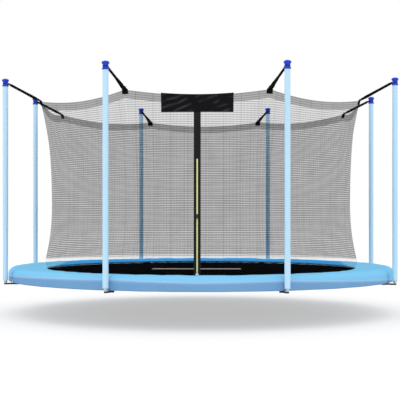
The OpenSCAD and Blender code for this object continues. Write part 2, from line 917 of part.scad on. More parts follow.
module pole_bolts() {
    head_x = pole_r + pole_d / 2 + slip;
    shank = pole_d + 2 * slip + nut_h + past;
    color("silver")
        at_each_pole()
            translate([head_x, 0, bolt_z])
                rotate([0, 90, 0]) {
                    cylinder(r = bolt_head_r, h = bolt_head_h, $fn = 6);
                    translate([0, 0, -shank])
                        cylinder(r = bolt_r, h = shank + past, $fn = wire_fn);
                }
}

module pole_nuts() {
    nut_x = pole_r - pole_d / 2 - slip - nut_h;
    color("silver")
        at_each_pole()
            translate([nut_x, 0, bolt_z])
                rotate([0, 90, 0])
                    difference() {
                        cylinder(r = bolt_head_r, h = nut_h, $fn = 6);
                        translate([0, 0, -past])
                            cylinder(r = bolt_r + pin_fit, h = nut_h + 2 * past, $fn = wire_fn);
                    }
}

module socket_screws() {
    head_top = ring_z - sleeve_r - slip;
    color("silver")
        at_each_pole()
            for (side = [-1, 1])
                rotate([0, 0, side * screw_out / ring_r * 180 / PI])
                    translate([ring_r, 0, head_top - screw_head_h]) {
                        cylinder(r = screw_head_r, h = screw_head_h, $fn = 6);
                        cylinder(r = screw_r, h = screw_head_h + screw_len, $fn = wire_fn);
                    }
}

for (k = [1 : pole_count]) {
    frame_tube(k);
    leg_socket(k);
    net_pole(k);
    frame_pad(k);
    net_panel(k);
}
pole_sleeves();
pole_caps();
jump_mat();
mat_rings(1);  // mat_rings_1
mat_rings(2);  // mat_rings_2
springs();
net_hem();
net_skirt();
banner();
door_strip();
zip_chain();
zip_stop();
zip_slider();
zip_pull();
net_straps();
corner_rings();
corner_tabs();
pole_bolts();
pole_nuts();
socket_screws();
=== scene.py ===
# %% [markdown]
# # Dressing a round trampoline
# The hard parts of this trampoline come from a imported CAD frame: ring tubes, sockets, poles,
# rings, bolts and the zip's slider. This lesson adds what is soft: net, hem, pads, foam, mat,
# straps and banner. It also adds what is too fine for the solids: the springs' coils, the
# zip's teeth and the caps' curves. Everything is in metres, with +Z up and the door facing -Y.

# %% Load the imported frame
import math

import bpy
import numpy as np
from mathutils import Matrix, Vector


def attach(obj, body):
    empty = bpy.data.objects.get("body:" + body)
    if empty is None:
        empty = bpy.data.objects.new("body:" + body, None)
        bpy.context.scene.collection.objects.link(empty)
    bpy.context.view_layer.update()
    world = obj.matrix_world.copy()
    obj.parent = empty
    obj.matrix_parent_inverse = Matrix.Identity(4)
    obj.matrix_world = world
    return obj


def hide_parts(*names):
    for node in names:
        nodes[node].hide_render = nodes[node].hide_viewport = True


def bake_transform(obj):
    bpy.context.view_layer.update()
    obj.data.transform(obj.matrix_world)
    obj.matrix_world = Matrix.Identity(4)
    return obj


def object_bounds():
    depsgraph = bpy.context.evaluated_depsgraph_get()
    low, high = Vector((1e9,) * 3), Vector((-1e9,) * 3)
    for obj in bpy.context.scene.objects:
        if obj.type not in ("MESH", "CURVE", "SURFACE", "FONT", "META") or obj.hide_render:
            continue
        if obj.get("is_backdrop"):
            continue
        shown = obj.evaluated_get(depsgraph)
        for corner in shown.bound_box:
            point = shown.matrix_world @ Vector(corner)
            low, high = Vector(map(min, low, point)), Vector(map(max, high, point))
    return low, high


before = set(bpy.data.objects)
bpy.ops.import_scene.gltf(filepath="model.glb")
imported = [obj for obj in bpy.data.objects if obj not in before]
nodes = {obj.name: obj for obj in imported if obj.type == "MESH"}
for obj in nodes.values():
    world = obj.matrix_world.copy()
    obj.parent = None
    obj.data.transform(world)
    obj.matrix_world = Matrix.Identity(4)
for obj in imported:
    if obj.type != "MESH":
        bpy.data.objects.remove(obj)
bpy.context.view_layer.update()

# %% [markdown]
# ## Sizes
# The soft pieces sit where the CAD solids are, so the lesson first names the sizes that both
# share. A trampoline repeats every 45 degrees, so most pieces are made once and turned.

# %% Sizes shared with the solids
SECTORS = 8
SECTOR = 2 * math.pi / SECTORS
HALF = SECTOR / 2
DOOR = 6
POLE_R = 1.940
FOAM_R, FOAM_BORE = 0.0250, 0.0128
FOAM_LOW, FOAM_HIGH = 0.0400, 1.8298
CAP_Z = 1.8301
MAT_Z, MAT_R, MAT_T = 0.100, 1.575, 0.0024
SPRINGS = 72
SPRING_DEGREES = 360 // SPRINGS
PAD_IN, PAD_OUT, PAD_Z = 1.510, 1.880, 0.1138
SKIRT_LOW = 0.0178
FOOT_Z, FOOT_R = 0.200, 1.533
WAIST_Z, WAIST_R, FULLNESS = 0.730, 1.462, 0.028
TOP_Z, CORNER_R = 1.704, 1.612
HEM_H, HEM_SAG = 0.070, 0.049
BANNER_W, BANNER_LOW = 0.614, 1.512
rng = np.random.default_rng(12)


def pole_turn(k):
    """The azimuth of pole k, in radians."""
    return HALF + SECTOR * (k - 1)


print("a pole every", round(math.degrees(SECTOR), 1), "degrees")

# %% [markdown]
# ## The shape of the net
# A net that hangs from eight corners isn't a cylinder. Its top edge runs straight from corner
# to corner, its foot is round, and the tension draws it in at the waist. One formula gives
# the radius from u, which runs from -1 to 1 across a panel, and from the height z. The door's
# panel is straight in the middle, because the zip's band is stiff.


# %% The net's wall
def top_radius(u):
    """The radius of the net's top edge: a straight line between two corners."""
    return CORNER_R * math.cos(HALF) / np.cos(HALF * u)


def wall_radius(u, z, panel=0):
    """The radius of the net's wall at u across a panel and at the height z."""
    waist = WAIST_R + FULLNESS * u ** 2
    high = ((z - WAIST_Z) / (TOP_Z - WAIST_Z)) ** 2
    low = ((WAIST_Z - z) / (WAIST_Z - FOOT_Z)) ** 2
    r = np.where(z > WAIST_Z, waist + (top_radius(u) - waist) * high,
                 waist + (FOOT_R - waist) * low)
    if panel == DOOR:
        line = FOOT_R + (top_radius(0.0) - FOOT_R) * (z - FOOT_Z) / (TOP_Z - FOOT_Z)
        r = r + (line - wall_radius(0.0 * u, z)) * (1 - u ** 2) ** 2
    return r


def hem_top(u):
    """The height of the net's top edge, which sags between two corners."""
    return TOP_Z - HEM_SAG * (1 - u ** 2)


def on_circle(angle, radius, z):
    """Points from polar coordinates, as one array with x, y and z last."""
    angle, radius, z = np.broadcast_arrays(angle, radius, z)
    return np.stack([radius * np.cos(angle), radius * np.sin(angle), z], -1)


print("the waist's radius is", round(float(wall_radius(0.0, np.array(WAIST_Z))), 3), "m")

# %% [markdown]
# ## Helpers for meshes
# Three ways of making a mesh cover all the soft pieces: a grid of points makes a cloth, a
# section moved along a line makes a tube or a strap, and a profile turned round an axis makes
# a cap or a sleeve. Each point also keeps a place on the flat cloth, in metres, so that weave
# and stitches have their real size whatever the shape does.


# %% Grids, tubes and pieces
def make_piece(name, verts, faces, material, body, replaces=(), cloth=None, ride=True):
    """One smooth mesh with its material, its body and the CAD nodes that it replaces."""
    mesh = bpy.data.meshes.new(name)
    mesh.from_pydata(np.asarray(verts, float).reshape(-1, 3).tolist(), [], faces)
    mesh.validate()
    mesh.polygons.foreach_set("use_smooth", [True] * len(mesh.polygons))
    if cloth is not None:
        flat = np.asarray(cloth, np.float32).reshape(-1, 3)
        kept = mesh.attributes.new("cloth", "FLOAT_VECTOR", "POINT")
        kept.data.foreach_set("vector", flat.ravel())
    mesh.materials.append(material)
    piece = bpy.data.objects.new(name, mesh)
    bpy.context.scene.collection.objects.link(piece)
    if ride:
        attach(piece, body)
    if replaces:
        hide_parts(*replaces)
    return piece


def grid_faces(rows, cols, wrap_rows=False, wrap_cols=False):
    """Faces between the points of a grid, which may close on itself either way."""
    index = np.arange(rows * cols).reshape(rows, cols)
    if wrap_cols:
        index = np.concatenate([index, index[:, :1]], 1)
    if wrap_rows:
        index = np.concatenate([index, index[:1]], 0)
    quads = np.stack([index[:-1, :-1], index[:-1, 1:], index[1:, 1:], index[1:, :-1]], -1)
    return quads.reshape(-1, 4).tolist()


def closed_loft(sections):
    """Faces of a solid whose closed cross-sections follow each other, with both ends capped."""
    count, size = sections.shape[:2]
    faces = grid_faces(count, size, wrap_cols=True)
    faces.append(list(range(size))[::-1])
    faces.append([(count - 1) * size + i for i in range(size)])
    return faces


def tube_sections(path, radius, sides):
    """A round section at each point of a path, twisted as little as possible on the way."""
    path = np.asarray(path, float)
    ahead = np.gradient(path, axis=0)
    ahead /= np.linalg.norm(ahead, axis=1)[:, None]
    side = np.cross(ahead[0], [0.3, 0.5, 0.8])
    around = np.linspace(0, 2 * math.pi, sides, endpoint=False)
    rings = []
    for point, tangent in zip(path, ahead):
        side = side - tangent * (side @ tangent)
        side /= np.linalg.norm(side)
        up = np.cross(tangent, side)
        circle = np.cos(around)[:, None] * side + np.sin(around)[:, None] * up
        rings.append(point + radius * circle)
    return np.array(rings)


def join(parts):
    """The points and the faces of several (points, faces) as one mesh."""
    points, faces, start = [], [], 0
    for own, own_faces in parts:
        points.append(np.asarray(own, float).reshape(-1, 3))
        faces += [[start + i for i in face] for face in own_faces]
        start += len(points[-1])
    return np.concatenate(points), faces


def turned(points, angle):
    """The same points, turned round the trampoline's axis."""
    c, s = math.cos(angle), math.sin(angle)
    return np.asarray(points, float) @ np.array([[c, s, 0], [-s, c, 0], [0, 0, 1]])


def ease(value):
    """From 0 to 1 with a soft start and a soft end."""
    value = np.clip(value, 0, 1)
    return value * value * (3 - 2 * value)


def smooth_noise(length, knots, rng):
    """A soft random line from -1 to 1, the same on each run."""
    values = rng.uniform(-1, 1, knots)
    t = np.linspace(0, knots - 1, length)
    i = np.clip(t.astype(int), 0, knots - 2)
    w = (t - i) ** 2 * (3 - 2 * (t - i))
    return values[i] * (1 - w) + values[i + 1] * w


print("helpers ready")

# %% [markdown]
# ## Shader groups
# Cloth, foam cover and webbing all need a weave, uneven colour and stitches. Each of these is
# a node group that is built once and placed in each material with its own numbers. The
# groups put out only masks, colours and heights, so a material stays easy to read.


# %% A small kit for node groups
class Nodes:
    """Shorter calls for adding and joining nodes in one tree."""

    def __init__(self, tree):
        self.tree = tree

    def add(self, kind, inputs=None, **settings):
        """Add a node, set it up, and fill its inputs with values or links."""
        node = self.tree.nodes.new(kind)
        for name, value in settings.items():
            setattr(node, name, value)
        for key, value in (inputs or {}).items():
            self.put(value, node.inputs[key])
        return node

    def put(self, value, socket):
        """Link a socket to the input, or write a plain value into it."""
        if isinstance(value, bpy.types.NodeSocket):
            self.tree.links.new(value, socket)
        else:
            socket.default_value = value

    def math(self, operation, a, b=0.0, c=0.0, clamp=False):
        """One step of arithmetic, as a Math node."""
        node = self.add("ShaderNodeMath", {0: a, 1: b, 2: c}, operation=operation, use_clamp=clamp)
        return node.outputs[0]

    def mix_color(self, factor, a, b):
        """Colour a where the factor is 0 and colour b where it is 1."""
        node = self.add("ShaderNodeMix", data_type="RGBA")
        for socket, value in ((node.inputs[0], factor), (node.inputs[6], a), (node.inputs[7], b)):
            self.put(value, socket)
        return node.outputs[2]


def new_group(name, inputs, outputs):
    """A node group with its sockets, and a kit for filling it."""
    tree = bpy.data.node_groups.new(name, "ShaderNodeTree")
    for label, kind, default in inputs:
        socket = tree.interface.new_socket(label, in_out="INPUT", socket_type=kind)
        if default is not None:
            socket.default_value = default
    for label, kind in outputs:
        tree.interface.new_socket(label, in_out="OUTPUT", socket_type=kind)
    kit = Nodes(tree)
    return tree, kit, kit.add("NodeGroupInput"), kit.add("NodeGroupOutput")


FLOAT, VECTOR, COLOR = "NodeSocketFloat", "NodeSocketVector", "NodeSocketColor"
print("group kit ready")

# %% [markdown]
# ### Weave
# Woven cloth is warp over weft, and two waves at right angles give its relief. The group
# multiplies the place on the cloth by the number of threads in a metre and puts out a height
# for the bump and a mask for the shade between threads.

# %% Weave group
weave, kit, given, out = new_group(
    "Weave", [("Place", VECTOR, None), ("Threads", FLOAT, 400.0)],
    [("Height", FLOAT), ("Gap", FLOAT)])
axes = kit.add("ShaderNodeSeparateXYZ", {0: given.outputs["Place"]})
waves = []
for axis in range(2):
    turns = kit.math("MULTIPLY", axes.outputs[axis], given.outputs["Threads"])
    waves.append(kit.math("SINE", kit.math("MULTIPLY", turns, 2 * math.pi)))
product = kit.math("MULTIPLY", waves[0], waves[1])
kit.put(kit.math("MULTIPLY_ADD", product, 0.5, 0.5), out.inputs["Height"])
deep = kit.math("MULTIPLY", kit.math("ABSOLUTE", waves[0]), kit.math("ABSOLUTE", waves[1]))
kit.put(kit.math("SUBTRACT", 1.0, deep, clamp=True), out.inputs["Gap"])
print("group:", weave.name)

# %% [markdown]
# ### Uneven colour
# No cloth or paint is one flat colour. Two noises, one broad and one fine, lighten and darken
# it a little, and the same value changes the roughness, as dust and handling do.

# %% Uneven colour group
uneven, kit, given, out = new_group(
    "Uneven", [("Color", COLOR, (0.5, 0.5, 0.5, 1)), ("Amount", FLOAT, 0.1),
               ("Scale", FLOAT, 3.0), ("Roughness", FLOAT, 0.5)],
    [("Color", COLOR), ("Roughness", FLOAT), ("Height", FLOAT)])
where = kit.add("ShaderNodeTexCoord")
broad = kit.add("ShaderNodeTexNoise", {"Vector": where.outputs["Object"],
                                       "Scale": given.outputs["Scale"], "Detail": 4.0})
fine = kit.add("ShaderNodeTexNoise", {
    "Vector": where.outputs["Object"],
    "Scale": kit.math("MULTIPLY", given.outputs["Scale"], 14.0), "Detail": 3.0})
both = kit.math("ADD", kit.math("MULTIPLY", broad.outputs[0], 0.65),
                kit.math("MULTIPLY", fine.outputs[0], 0.35))
shift = kit.math("MULTIPLY", kit.math("SUBTRACT", both, 0.5), given.outputs["Amount"])
bright = kit.add("ShaderNodeHueSaturation", {
    "Color": given.outputs["Color"], "Value": kit.math("MULTIPLY_ADD", shift, 4.0, 1.0)})
kit.put(bright.outputs[0], out.inputs["Color"])
kit.put(kit.math("MULTIPLY_ADD", shift, -1.5, given.outputs["Roughness"], clamp=True),
        out.inputs["Roughness"])
kit.put(both, out.inputs["Height"])
print("group:", uneven.name)

# %% [markdown]
# ### Stitches
# A seam is a row of short threads. The group takes the place on the cloth and says where a
# stitch lies: close to one line, and on for most of each step along it.

# %% Stitch group
stitch, kit, given, out = new_group(
    "Stitches", [("Across", FLOAT, 0.0), ("Along", FLOAT, 0.0), ("Line", FLOAT, 0.0),
                 ("Width", FLOAT, 0.0012), ("Step", FLOAT, 0.006)],
    [("Mask", FLOAT)])
beside = kit.math("SUBTRACT", given.outputs["Across"], given.outputs["Line"])
near = kit.math("LESS_THAN", kit.math("ABSOLUTE", beside), given.outputs["Width"])
step = kit.math("FRACT", kit.math("DIVIDE", given.outputs["Along"], given.outputs["Step"]))
kit.put(kit.math("MULTIPLY", near, kit.math("LESS_THAN", step, 0.72)), out.inputs["Mask"])
print("group:", stitch.name)

# %% [markdown]
# ## Finishes
# Each finish is one Principled shader. A helper lays out what all of them share: uneven
# colour, an optional weave with its bump, and stitches of a second colour.


# %% A finish from the groups
THREAD_RAISE = 0.0006


def use_group(kit, tree, inputs):
    """Place a group in a material and set its inputs."""
    node = kit.tree.nodes.new("ShaderNodeGroup")
    node.node_tree = tree
    for key, value in inputs.items():
        kit.put(value, node.inputs[key])
    return node


def principled(material):
    """The Principled shader of a material."""
    return next(n for n in material.node_tree.nodes if n.type == "BSDF_PRINCIPLED")


def new_material(name):
    """A new material with a kit for its nodes and its Principled shader."""
    material = bpy.data.materials.new(name)
    material.use_nodes = True
    return material, Nodes(material.node_tree), principled(material)


def cloth_place(kit):
    """The place on the flat cloth, whole and split into across and along."""
    place = kit.add("ShaderNodeAttribute", attribute_name="cloth").outputs["Vector"]
    parts = kit.add("ShaderNodeSeparateXYZ", {0: place})
    return place, parts.outputs[0], parts.outputs[1]


def paint_over(kit, material, mask, color):
    """Lay a colour over the base colour of a finished material, where the mask says so."""
    socket = principled(material).inputs["Base Color"]
    kit.put(kit.mix_color(mask, socket.links[0].from_socket, (*color, 1)), socket)


def finish(name, color, roughness, amount, scale, threads=0.0, weave_depth=0.0, gap_shade=0.0,
           metallic=0.0, bump=0.0, stitches=(), thread_color=(0.6, 0.6, 0.6), **plain):
    """One material. A stitch is (line, half width, step); plain sets other sockets by name."""
    material, kit, shader = new_material(name)
    base = use_group(kit, uneven, {"Color": (*color, 1), "Amount": amount, "Scale": scale,
                                   "Roughness": roughness})
    shade, height = base.outputs["Color"], None
    if threads:
        place, across, along = cloth_place(kit)
        woven = use_group(kit, weave, {"Place": place, "Threads": threads})
        dark = tuple(c * (1 - gap_shade) for c in color)
        shade = kit.mix_color(kit.math("MULTIPLY", woven.outputs["Gap"], 0.5), shade, (*dark, 1))
        height = kit.math("MULTIPLY", woven.outputs["Height"], weave_depth)
        for line, width, step in stitches:
            sewn = use_group(kit, stitch, {"Across": across, "Along": along, "Line": line,
                                           "Width": width, "Step": step})
            shade = kit.mix_color(sewn.outputs["Mask"], shade, (*thread_color, 1))
            height = kit.math("MULTIPLY_ADD", sewn.outputs["Mask"], THREAD_RAISE, height)
    elif bump:
        height = kit.math("MULTIPLY", base.outputs["Height"], bump)
    if height is not None:
        relief = kit.add("ShaderNodeBump", {"Height": height, "Distance": 1.0, "Strength": 0.6})
        kit.put(relief.outputs[0], shader.inputs["Normal"])
    kit.put(shade, shader.inputs["Base Color"])
    kit.put(base.outputs["Roughness"], shader.inputs["Roughness"])
    shader.inputs["Metallic"].default_value = metallic
    for socket, value in plain.items():
        shader.inputs[socket.replace("_", " ")].default_value = value
    return material


print("a finish takes its weave from", weave.name)

# %% [markdown]
# ### One finish for each kind of surface
# After the name come the colour, the roughness, how uneven it is and how small the patches
# are. Cloth also has its threads in a metre, the relief of its weave in metres, and the share
# by which the gaps are darker. Other surfaces have a plain fine bump. Black cloth reflects
# next to nothing, so its specular level is low.

# %% The finishes
from_frame = len(bpy.data.materials)
PAD_CLOTH = finish("Sky-blue pad cloth", (0.19, 0.53, 0.88), 0.55, 0.05, 2.0, 500, 0.0002, 0.2,
                   Specular_IOR_Level=0.0)
FOAM_COVER = finish("Foam cover", (0.50, 0.76, 0.96), 0.40, 0.03, 3.0, bump=0.0006,
                    Specular_IOR_Level=0.4)
CAP_PLASTIC = finish("Royal-blue plastic", (0.012, 0.045, 0.56), 0.35, 0.03, 9.0, bump=0.0003,
                     Specular_IOR_Level=0.3)
MAT_CLOTH = finish("Jump mat cloth", (0.004, 0.004, 0.005), 0.95, 0.2, 1.2, 300, 0.0006, 0.6,
                   Specular_IOR_Level=0.0)
WEBBING = finish("Black webbing", (0.005, 0.005, 0.006), 0.8, 0.15, 5.0, 420, 0.0005, 0.5,
                 Specular_IOR_Level=0.05)
BAND_CLOTH = finish("Door band cloth", (0.019, 0.019, 0.020), 0.85, 0.1, 5.0, 420, 0.0005, 0.5,
                    stitches=((-0.026, 0.0006, 0.006), (0.026, 0.0006, 0.006)),
                    thread_color=(0.05, 0.05, 0.05), Specular_IOR_Level=0.05)
BANNER_CLOTH = finish("Black banner cloth", (0.004, 0.004, 0.005), 0.7, 0.2, 2.0,
                      700, 0.0003, 0.4,
                      stitches=((-0.300, 0.0006, 0.007), (0.300, 0.0006, 0.007)),
                      thread_color=(0.03, 0.03, 0.03), Specular_IOR_Level=0.1)
STEEL = finish("Galvanised steel", (0.60, 0.62, 0.64), 0.34, 0.12, 8.0, metallic=1.0, bump=0.0003)
WIRE = finish("Zinc wire", (0.68, 0.69, 0.70), 0.26, 0.1, 20.0, metallic=1.0, bump=0.0001)
BOLT = finish("Zinc bolt", (0.64, 0.65, 0.67), 0.3, 0.1, 30.0, metallic=1.0, bump=0.0001)
SOCKET_PAINT = finish("Black powder coat", (0.018, 0.018, 0.020), 0.5, 0.1, 12.0, bump=0.0004)
ZIP_YELLOW = finish("Pale-yellow zip", (0.80, 0.78, 0.32), 0.4, 0.05, 20.0)
ZIP_IVORY = finish("Ivory plastic", (0.80, 0.80, 0.70), 0.35, 0.03, 20.0)
ZIP_BLACK = finish("Black slider", (0.012, 0.012, 0.014), 0.3, 0.05, 30.0)
print("finishes:", len(bpy.data.materials) - from_frame)

# %% [markdown]
# ## Netting
# The real net is knitted from thin black cord, far finer than a pixel, so from a step away
# it is a grey veil. A sheet with an alpha mask gives that: the mask is the share of the
# surface that the cords cover. Rows 19 mm apart are denser, as knitting is, and the
# uprights are fainter. Low down on the door's side the net is thinner: the third number of a
# point's place on the cloth says how high the thin part goes. The hem is the same net,
# doubled and closer.


# %% Net and hem finishes
SEAM_EVERY, SEAM_HALF, SEAM_GAIN = 0.15, 0.016, 0.12
THIN_FADE = 0.020


def netting(name, thin, row_gain, row_pitch, upright_gain, upright_pitch, patchy, foot=1.0):
    """A black net whose alpha is the share that its cords cover: thin between the rows."""
    material, kit, shader = new_material(name)
    place, across, along = cloth_place(kit)
    wander = kit.add("ShaderNodeTexNoise", {"Vector": place, "Scale": 9.0, "Detail": 2.0})
    lift = kit.math("MULTIPLY", kit.math("SUBTRACT", wander.outputs[0], 0.5), 0.006)
    alpha = thin
    for value, pitch, gain in ((kit.math("ADD", along, lift), row_pitch, row_gain),
                               (across, upright_pitch, upright_gain)):
        wave = kit.math("SINE", kit.math("MULTIPLY", value, 2 * math.pi / pitch))
        crest = kit.math("POWER", kit.math("MULTIPLY_ADD", wave, 0.5, 0.5), 2.0)
        alpha = kit.math("MULTIPLY_ADD", crest, gain, alpha)
    cloud = kit.add("ShaderNodeTexNoise", {"Vector": place, "Scale": 6.0, "Detail": 4.0})
    alpha = kit.math("MULTIPLY_ADD", kit.math("SUBTRACT", cloud.outputs[0], 0.5), patchy, alpha)
    width_share = kit.math("FRACT", kit.math("DIVIDE", across, SEAM_EVERY))
    off_seam = kit.math("ABSOLUTE", kit.math("SUBTRACT", width_share, 0.5))
    seam = kit.math("MULTIPLY", kit.math("LESS_THAN", off_seam, SEAM_HALF), SEAM_GAIN)
    thin_to = kit.add("ShaderNodeSeparateXYZ", {0: place}).outputs[2]
    rising = kit.math("DIVIDE", kit.math("SUBTRACT", along, thin_to), THIN_FADE, clamp=True)
    coarse = kit.math("MULTIPLY_ADD", rising, 1.0 - foot, foot)
    alpha = kit.math("MULTIPLY", kit.math("ADD", alpha, seam, clamp=True), coarse)
    base = use_group(kit, uneven, {"Color": (0.010, 0.010, 0.011, 1), "Amount": 0.1, "Scale": 4.0,
                                   "Roughness": 0.9})
    kit.put(base.outputs["Color"], shader.inputs["Base Color"])
    kit.put(base.outputs["Roughness"], shader.inputs["Roughness"])
    kit.put(alpha, shader.inputs["Alpha"])
    shader.inputs["Specular IOR Level"].default_value = 0.05
    return material


NET = netting("Black netting", thin=0.235, row_gain=0.34, row_pitch=0.0192, upright_gain=0.05,
              upright_pitch=0.030, patchy=0.12, foot=0.15)
HEM = netting("Dense hem netting", thin=0.55, row_gain=0.18, row_pitch=0.0192, upright_gain=0.05,
              upright_pitch=0.012, patchy=0.10)
SKIRT_NET = netting("Skirt netting", thin=0.07, row_gain=0.05, row_pitch=0.012,
                    upright_gain=0.02, upright_pitch=0.016, patchy=0.03)
print("netting:", ", ".join([NET.name, HEM.name, SKIRT_NET.name]))

# %% [markdown]
# ## Metal and plastic from the frame
# A CAD node whose shape is right stays and only gets its finish. Tubes, sockets, rings, bolts
# and the zip's slider are such nodes.

# %% Finish the CAD nodes
KEPT = {"frame_tube": STEEL, "net_pole": STEEL, "leg_socket": SOCKET_PAINT, "mat_rings": WIRE,
        "corner_rings": SOCKET_PAINT, "pole_bolts": BOLT, "pole_nuts": BOLT, "socket_screws": BOLT,
        "zip_slider": ZIP_BLACK, "zip_pull": ZIP_BLACK, "zip_stop": ZIP_IVORY}
for name, node in nodes.items():
    material = KEPT.get(name.rstrip("12345678").rstrip("_"))
    if material:
        node.data.materials.clear()
        node.data.materials.append(material)
print("finished nodes:", sum(1 for n in nodes.values() if n.data.materials[0] in KEPT.values()))

# %% [markdown]
# ## Cloth on the net's formula
# Panels, hem and banner all lie on the net's wall, so one helper makes a grid of points
# there. One more measures a grid: each point's place on the flat cloth, which the weave and
# the netting follow.


def cloth_coordinates(points):
    """Each grid point's place on the flat cloth: across from its middle, along from its foot."""
    across = np.zeros(points.shape[:2])
    along = np.zeros(points.shape[:2])
    across[:, 1:] = np.linalg.norm(np.diff(points, axis=1), axis=2).cumsum(1)
    along[1:] = np.linalg.norm(np.diff(points, axis=0), axis=2).cumsum(0)
    across -= across[:, -1:] / 2
    return np.stack([across, along, np.zeros_like(across)], -1)


def wall_grid(panel, u, share, low, high, out=0.0, fold=0.0):
    """Points on the net's wall: u across, share from 0 to 1 between the heights low and high."""
    grid_u, grid_v = np.meshgrid(u, share)
    z = low(grid_u) + (high(grid_u) - low(grid_u)) * grid_v
    radius = wall_radius(grid_u, z, panel) + out
    if fold:
        wave = sum(smooth_noise(len(u), n, rng) / (i + 1) for i, n in enumerate((7, 13, 23)))
        depth = (1 - grid_u ** 2) ** 0.5 * np.sin(np.pi * np.clip(grid_v, 0, 1)) ** 0.7
        radius = radius - fold * (0.6 + 0.4 * wave) * depth
    return on_circle(SECTOR * panel + HALF * grid_u, radius, z)


print("on the wall, the foot is at", FOOT_Z, "and the corners at", TOP_Z, "m")

# %% [markdown]
# ## Net panels
# Each of the eight panels is a grid on the net's formula, from the seam at its foot up to the
# hem. Slack cloth between two corners makes soft vertical folds, so the grid is drawn in a
# little between them. The door's panel has none, because its band holds it straight.

# %% Make the panels and their hems
THIN_SHARE = 0.05  # height of the thin part, as a share of the distance towards the door
THIN_REACH = -0.2  # on the far side it gets no lower than at this distance
HEM_GAP, FOLD_DEPTH = 0.0003, 0.004
panel_u = np.linspace(-0.9995, 0.9995, 49)
for k in range(1, SECTORS + 1):
    body = wall_grid(k, panel_u, np.linspace(0, 1, 61), lambda u: FOOT_Z + 0 * u,
                     lambda u: hem_top(u) - HEM_H - HEM_GAP,
                     fold=0.0 if k == DOOR else FOLD_DEPTH)
    band = wall_grid(k, panel_u, np.linspace(0, 1, 7), lambda u: hem_top(u) - HEM_H, hem_top)
    cloth = cloth_coordinates(body)
    cloth[..., 2] = THIN_SHARE * np.clip(-body[..., 1], THIN_REACH, None)
    net = make_piece(f"net_cloth_{k}", body, grid_faces(*body.shape[:2]), NET, "frame",
                     [f"net_panel_{k}"], cloth)
    hem = make_piece(f"hem_band_{k}", band, grid_faces(*band.shape[:2]), HEM, "frame",
                     ["net_hem"], cloth_coordinates(band))

# %% [markdown]
# ## Net skirt
# The lowest band of the net comes inside the pad and is sewn to the mat, so that no foot can
# slip through. It is gathered, so its foot waves a little.

# %% Make the skirt
SEAM_R, SEAM_Z = 1.498, 0.1018
GATHER, GATHERS = 0.0022, 144
skirt_turn = np.linspace(0, 2 * math.pi, 577)
share = np.linspace(0, 1, 15)
turn_grid, ease_grid = np.meshgrid(skirt_turn, ease(share))
share_grid = np.repeat(share[:, None], len(skirt_turn), 1)
gather = GATHER * (1 - share_grid) * np.sin(turn_grid * GATHERS)
skirt_radius = SEAM_R + (FOOT_R - SEAM_R) * ease_grid + gather
skirt = on_circle(turn_grid, skirt_radius, SEAM_Z + (FOOT_Z - SEAM_Z) * share_grid)
net_skirt = make_piece("net_skirt_cloth", skirt, grid_faces(*skirt.shape[:2]), SKIRT_NET,
                       "frame", ["net_skirt"], cloth_coordinates(skirt), ride=False)
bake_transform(net_skirt)

# %% [markdown]
# ## Jump mat
# The mat is one flat disc of woven cloth with a folded hem, held tight by the springs. Its
# cross-section is turned round the axis, with enough rings for a slight dip in the
# middle. A pale, worn bar printed across it marks where to jump: a mask made of two
# comparisons lays the bar over the cloth's colour.


# %% Mat finish with a plain bar
BAR_MIDDLE, BAR_HALF = (-0.05, 0.20), (0.45, 0.045)


def mat_finish():
    """A copy of the mat's cloth with a pale, worn bar printed on it."""
    material = MAT_CLOTH.copy()
    material.name = "Jump mat with bar"
    kit = Nodes(material.node_tree)
    place, across, along = cloth_place(kit)
    bar = 1.0
    for value, centre, half in zip((across, along), BAR_MIDDLE, BAR_HALF):
        off = kit.math("ABSOLUTE", kit.math("SUBTRACT", value, centre))
        bar = kit.math("MULTIPLY", kit.math("LESS_THAN", off, half), bar)
    grains = kit.add("ShaderNodeTexNoise", {"Vector": place, "Scale": 60.0, "Detail": 2.0})
    worn = kit.math("MULTIPLY_ADD", grains.outputs[0], 0.6, 0.55, clamp=True)
    paint_over(kit, material, kit.math("MULTIPLY", bar, worn), (0.80, 0.80, 0.80))
    return material


PRINTED_MAT = mat_finish()
print("finish:", PRINTED_MAT.name)

# %% [markdown]
# The disc itself is a lathe's work: its profile goes out along the top, round the hem and
# back along the underside. The same helper makes the sleeves and the caps further on.


# %% Turn the mat
def lathe(profile, turns, name, material, body, replaces, centre=(0, 0), closed=False):
    """A profile of (radius, height) turned round a vertical axis."""
    profile = np.asarray(profile, float)
    angles = np.linspace(0, 2 * math.pi, turns, endpoint=False)
    a, r = np.meshgrid(angles, profile[:, 0])
    z = np.repeat(profile[:, 1][:, None], turns, 1)
    points = on_circle(a, r, z) + np.array([centre[0], centre[1], 0])
    flat = np.stack([r * np.cos(a), r * np.sin(a), z], -1)
    faces = grid_faces(len(profile), turns, wrap_cols=True, wrap_rows=closed)
    return make_piece(name, points, faces, material, body, replaces, flat)


DIP, MAT_HEM, HEM_HALF = 0.002, 0.045, 0.0023
hem_in = MAT_R - MAT_HEM
radii = np.linspace(0.004, hem_in, 36)
sag = -DIP * np.cos(np.pi / 2 * radii / MAT_R)
top = [(r, MAT_Z + MAT_T / 2 + s) for r, s in zip(radii, sag)]
half_edge = [(hem_in + 0.001, HEM_HALF), (MAT_R - 0.002, HEM_HALF), (MAT_R, 0.001)]
edge = ([(r, MAT_Z + z) for r, z in half_edge]
        + [(r, MAT_Z - z) for r, z in half_edge[::-1]])
under = [(r, z - MAT_T) for r, z in top[::-1]]
jump_mat = lathe(top + edge + under, 288, "jump_mat_cloth", PRINTED_MAT, "mat",
                 ["jump_mat"], closed=True)
print("mat faces:", len(jump_mat.data.polygons))

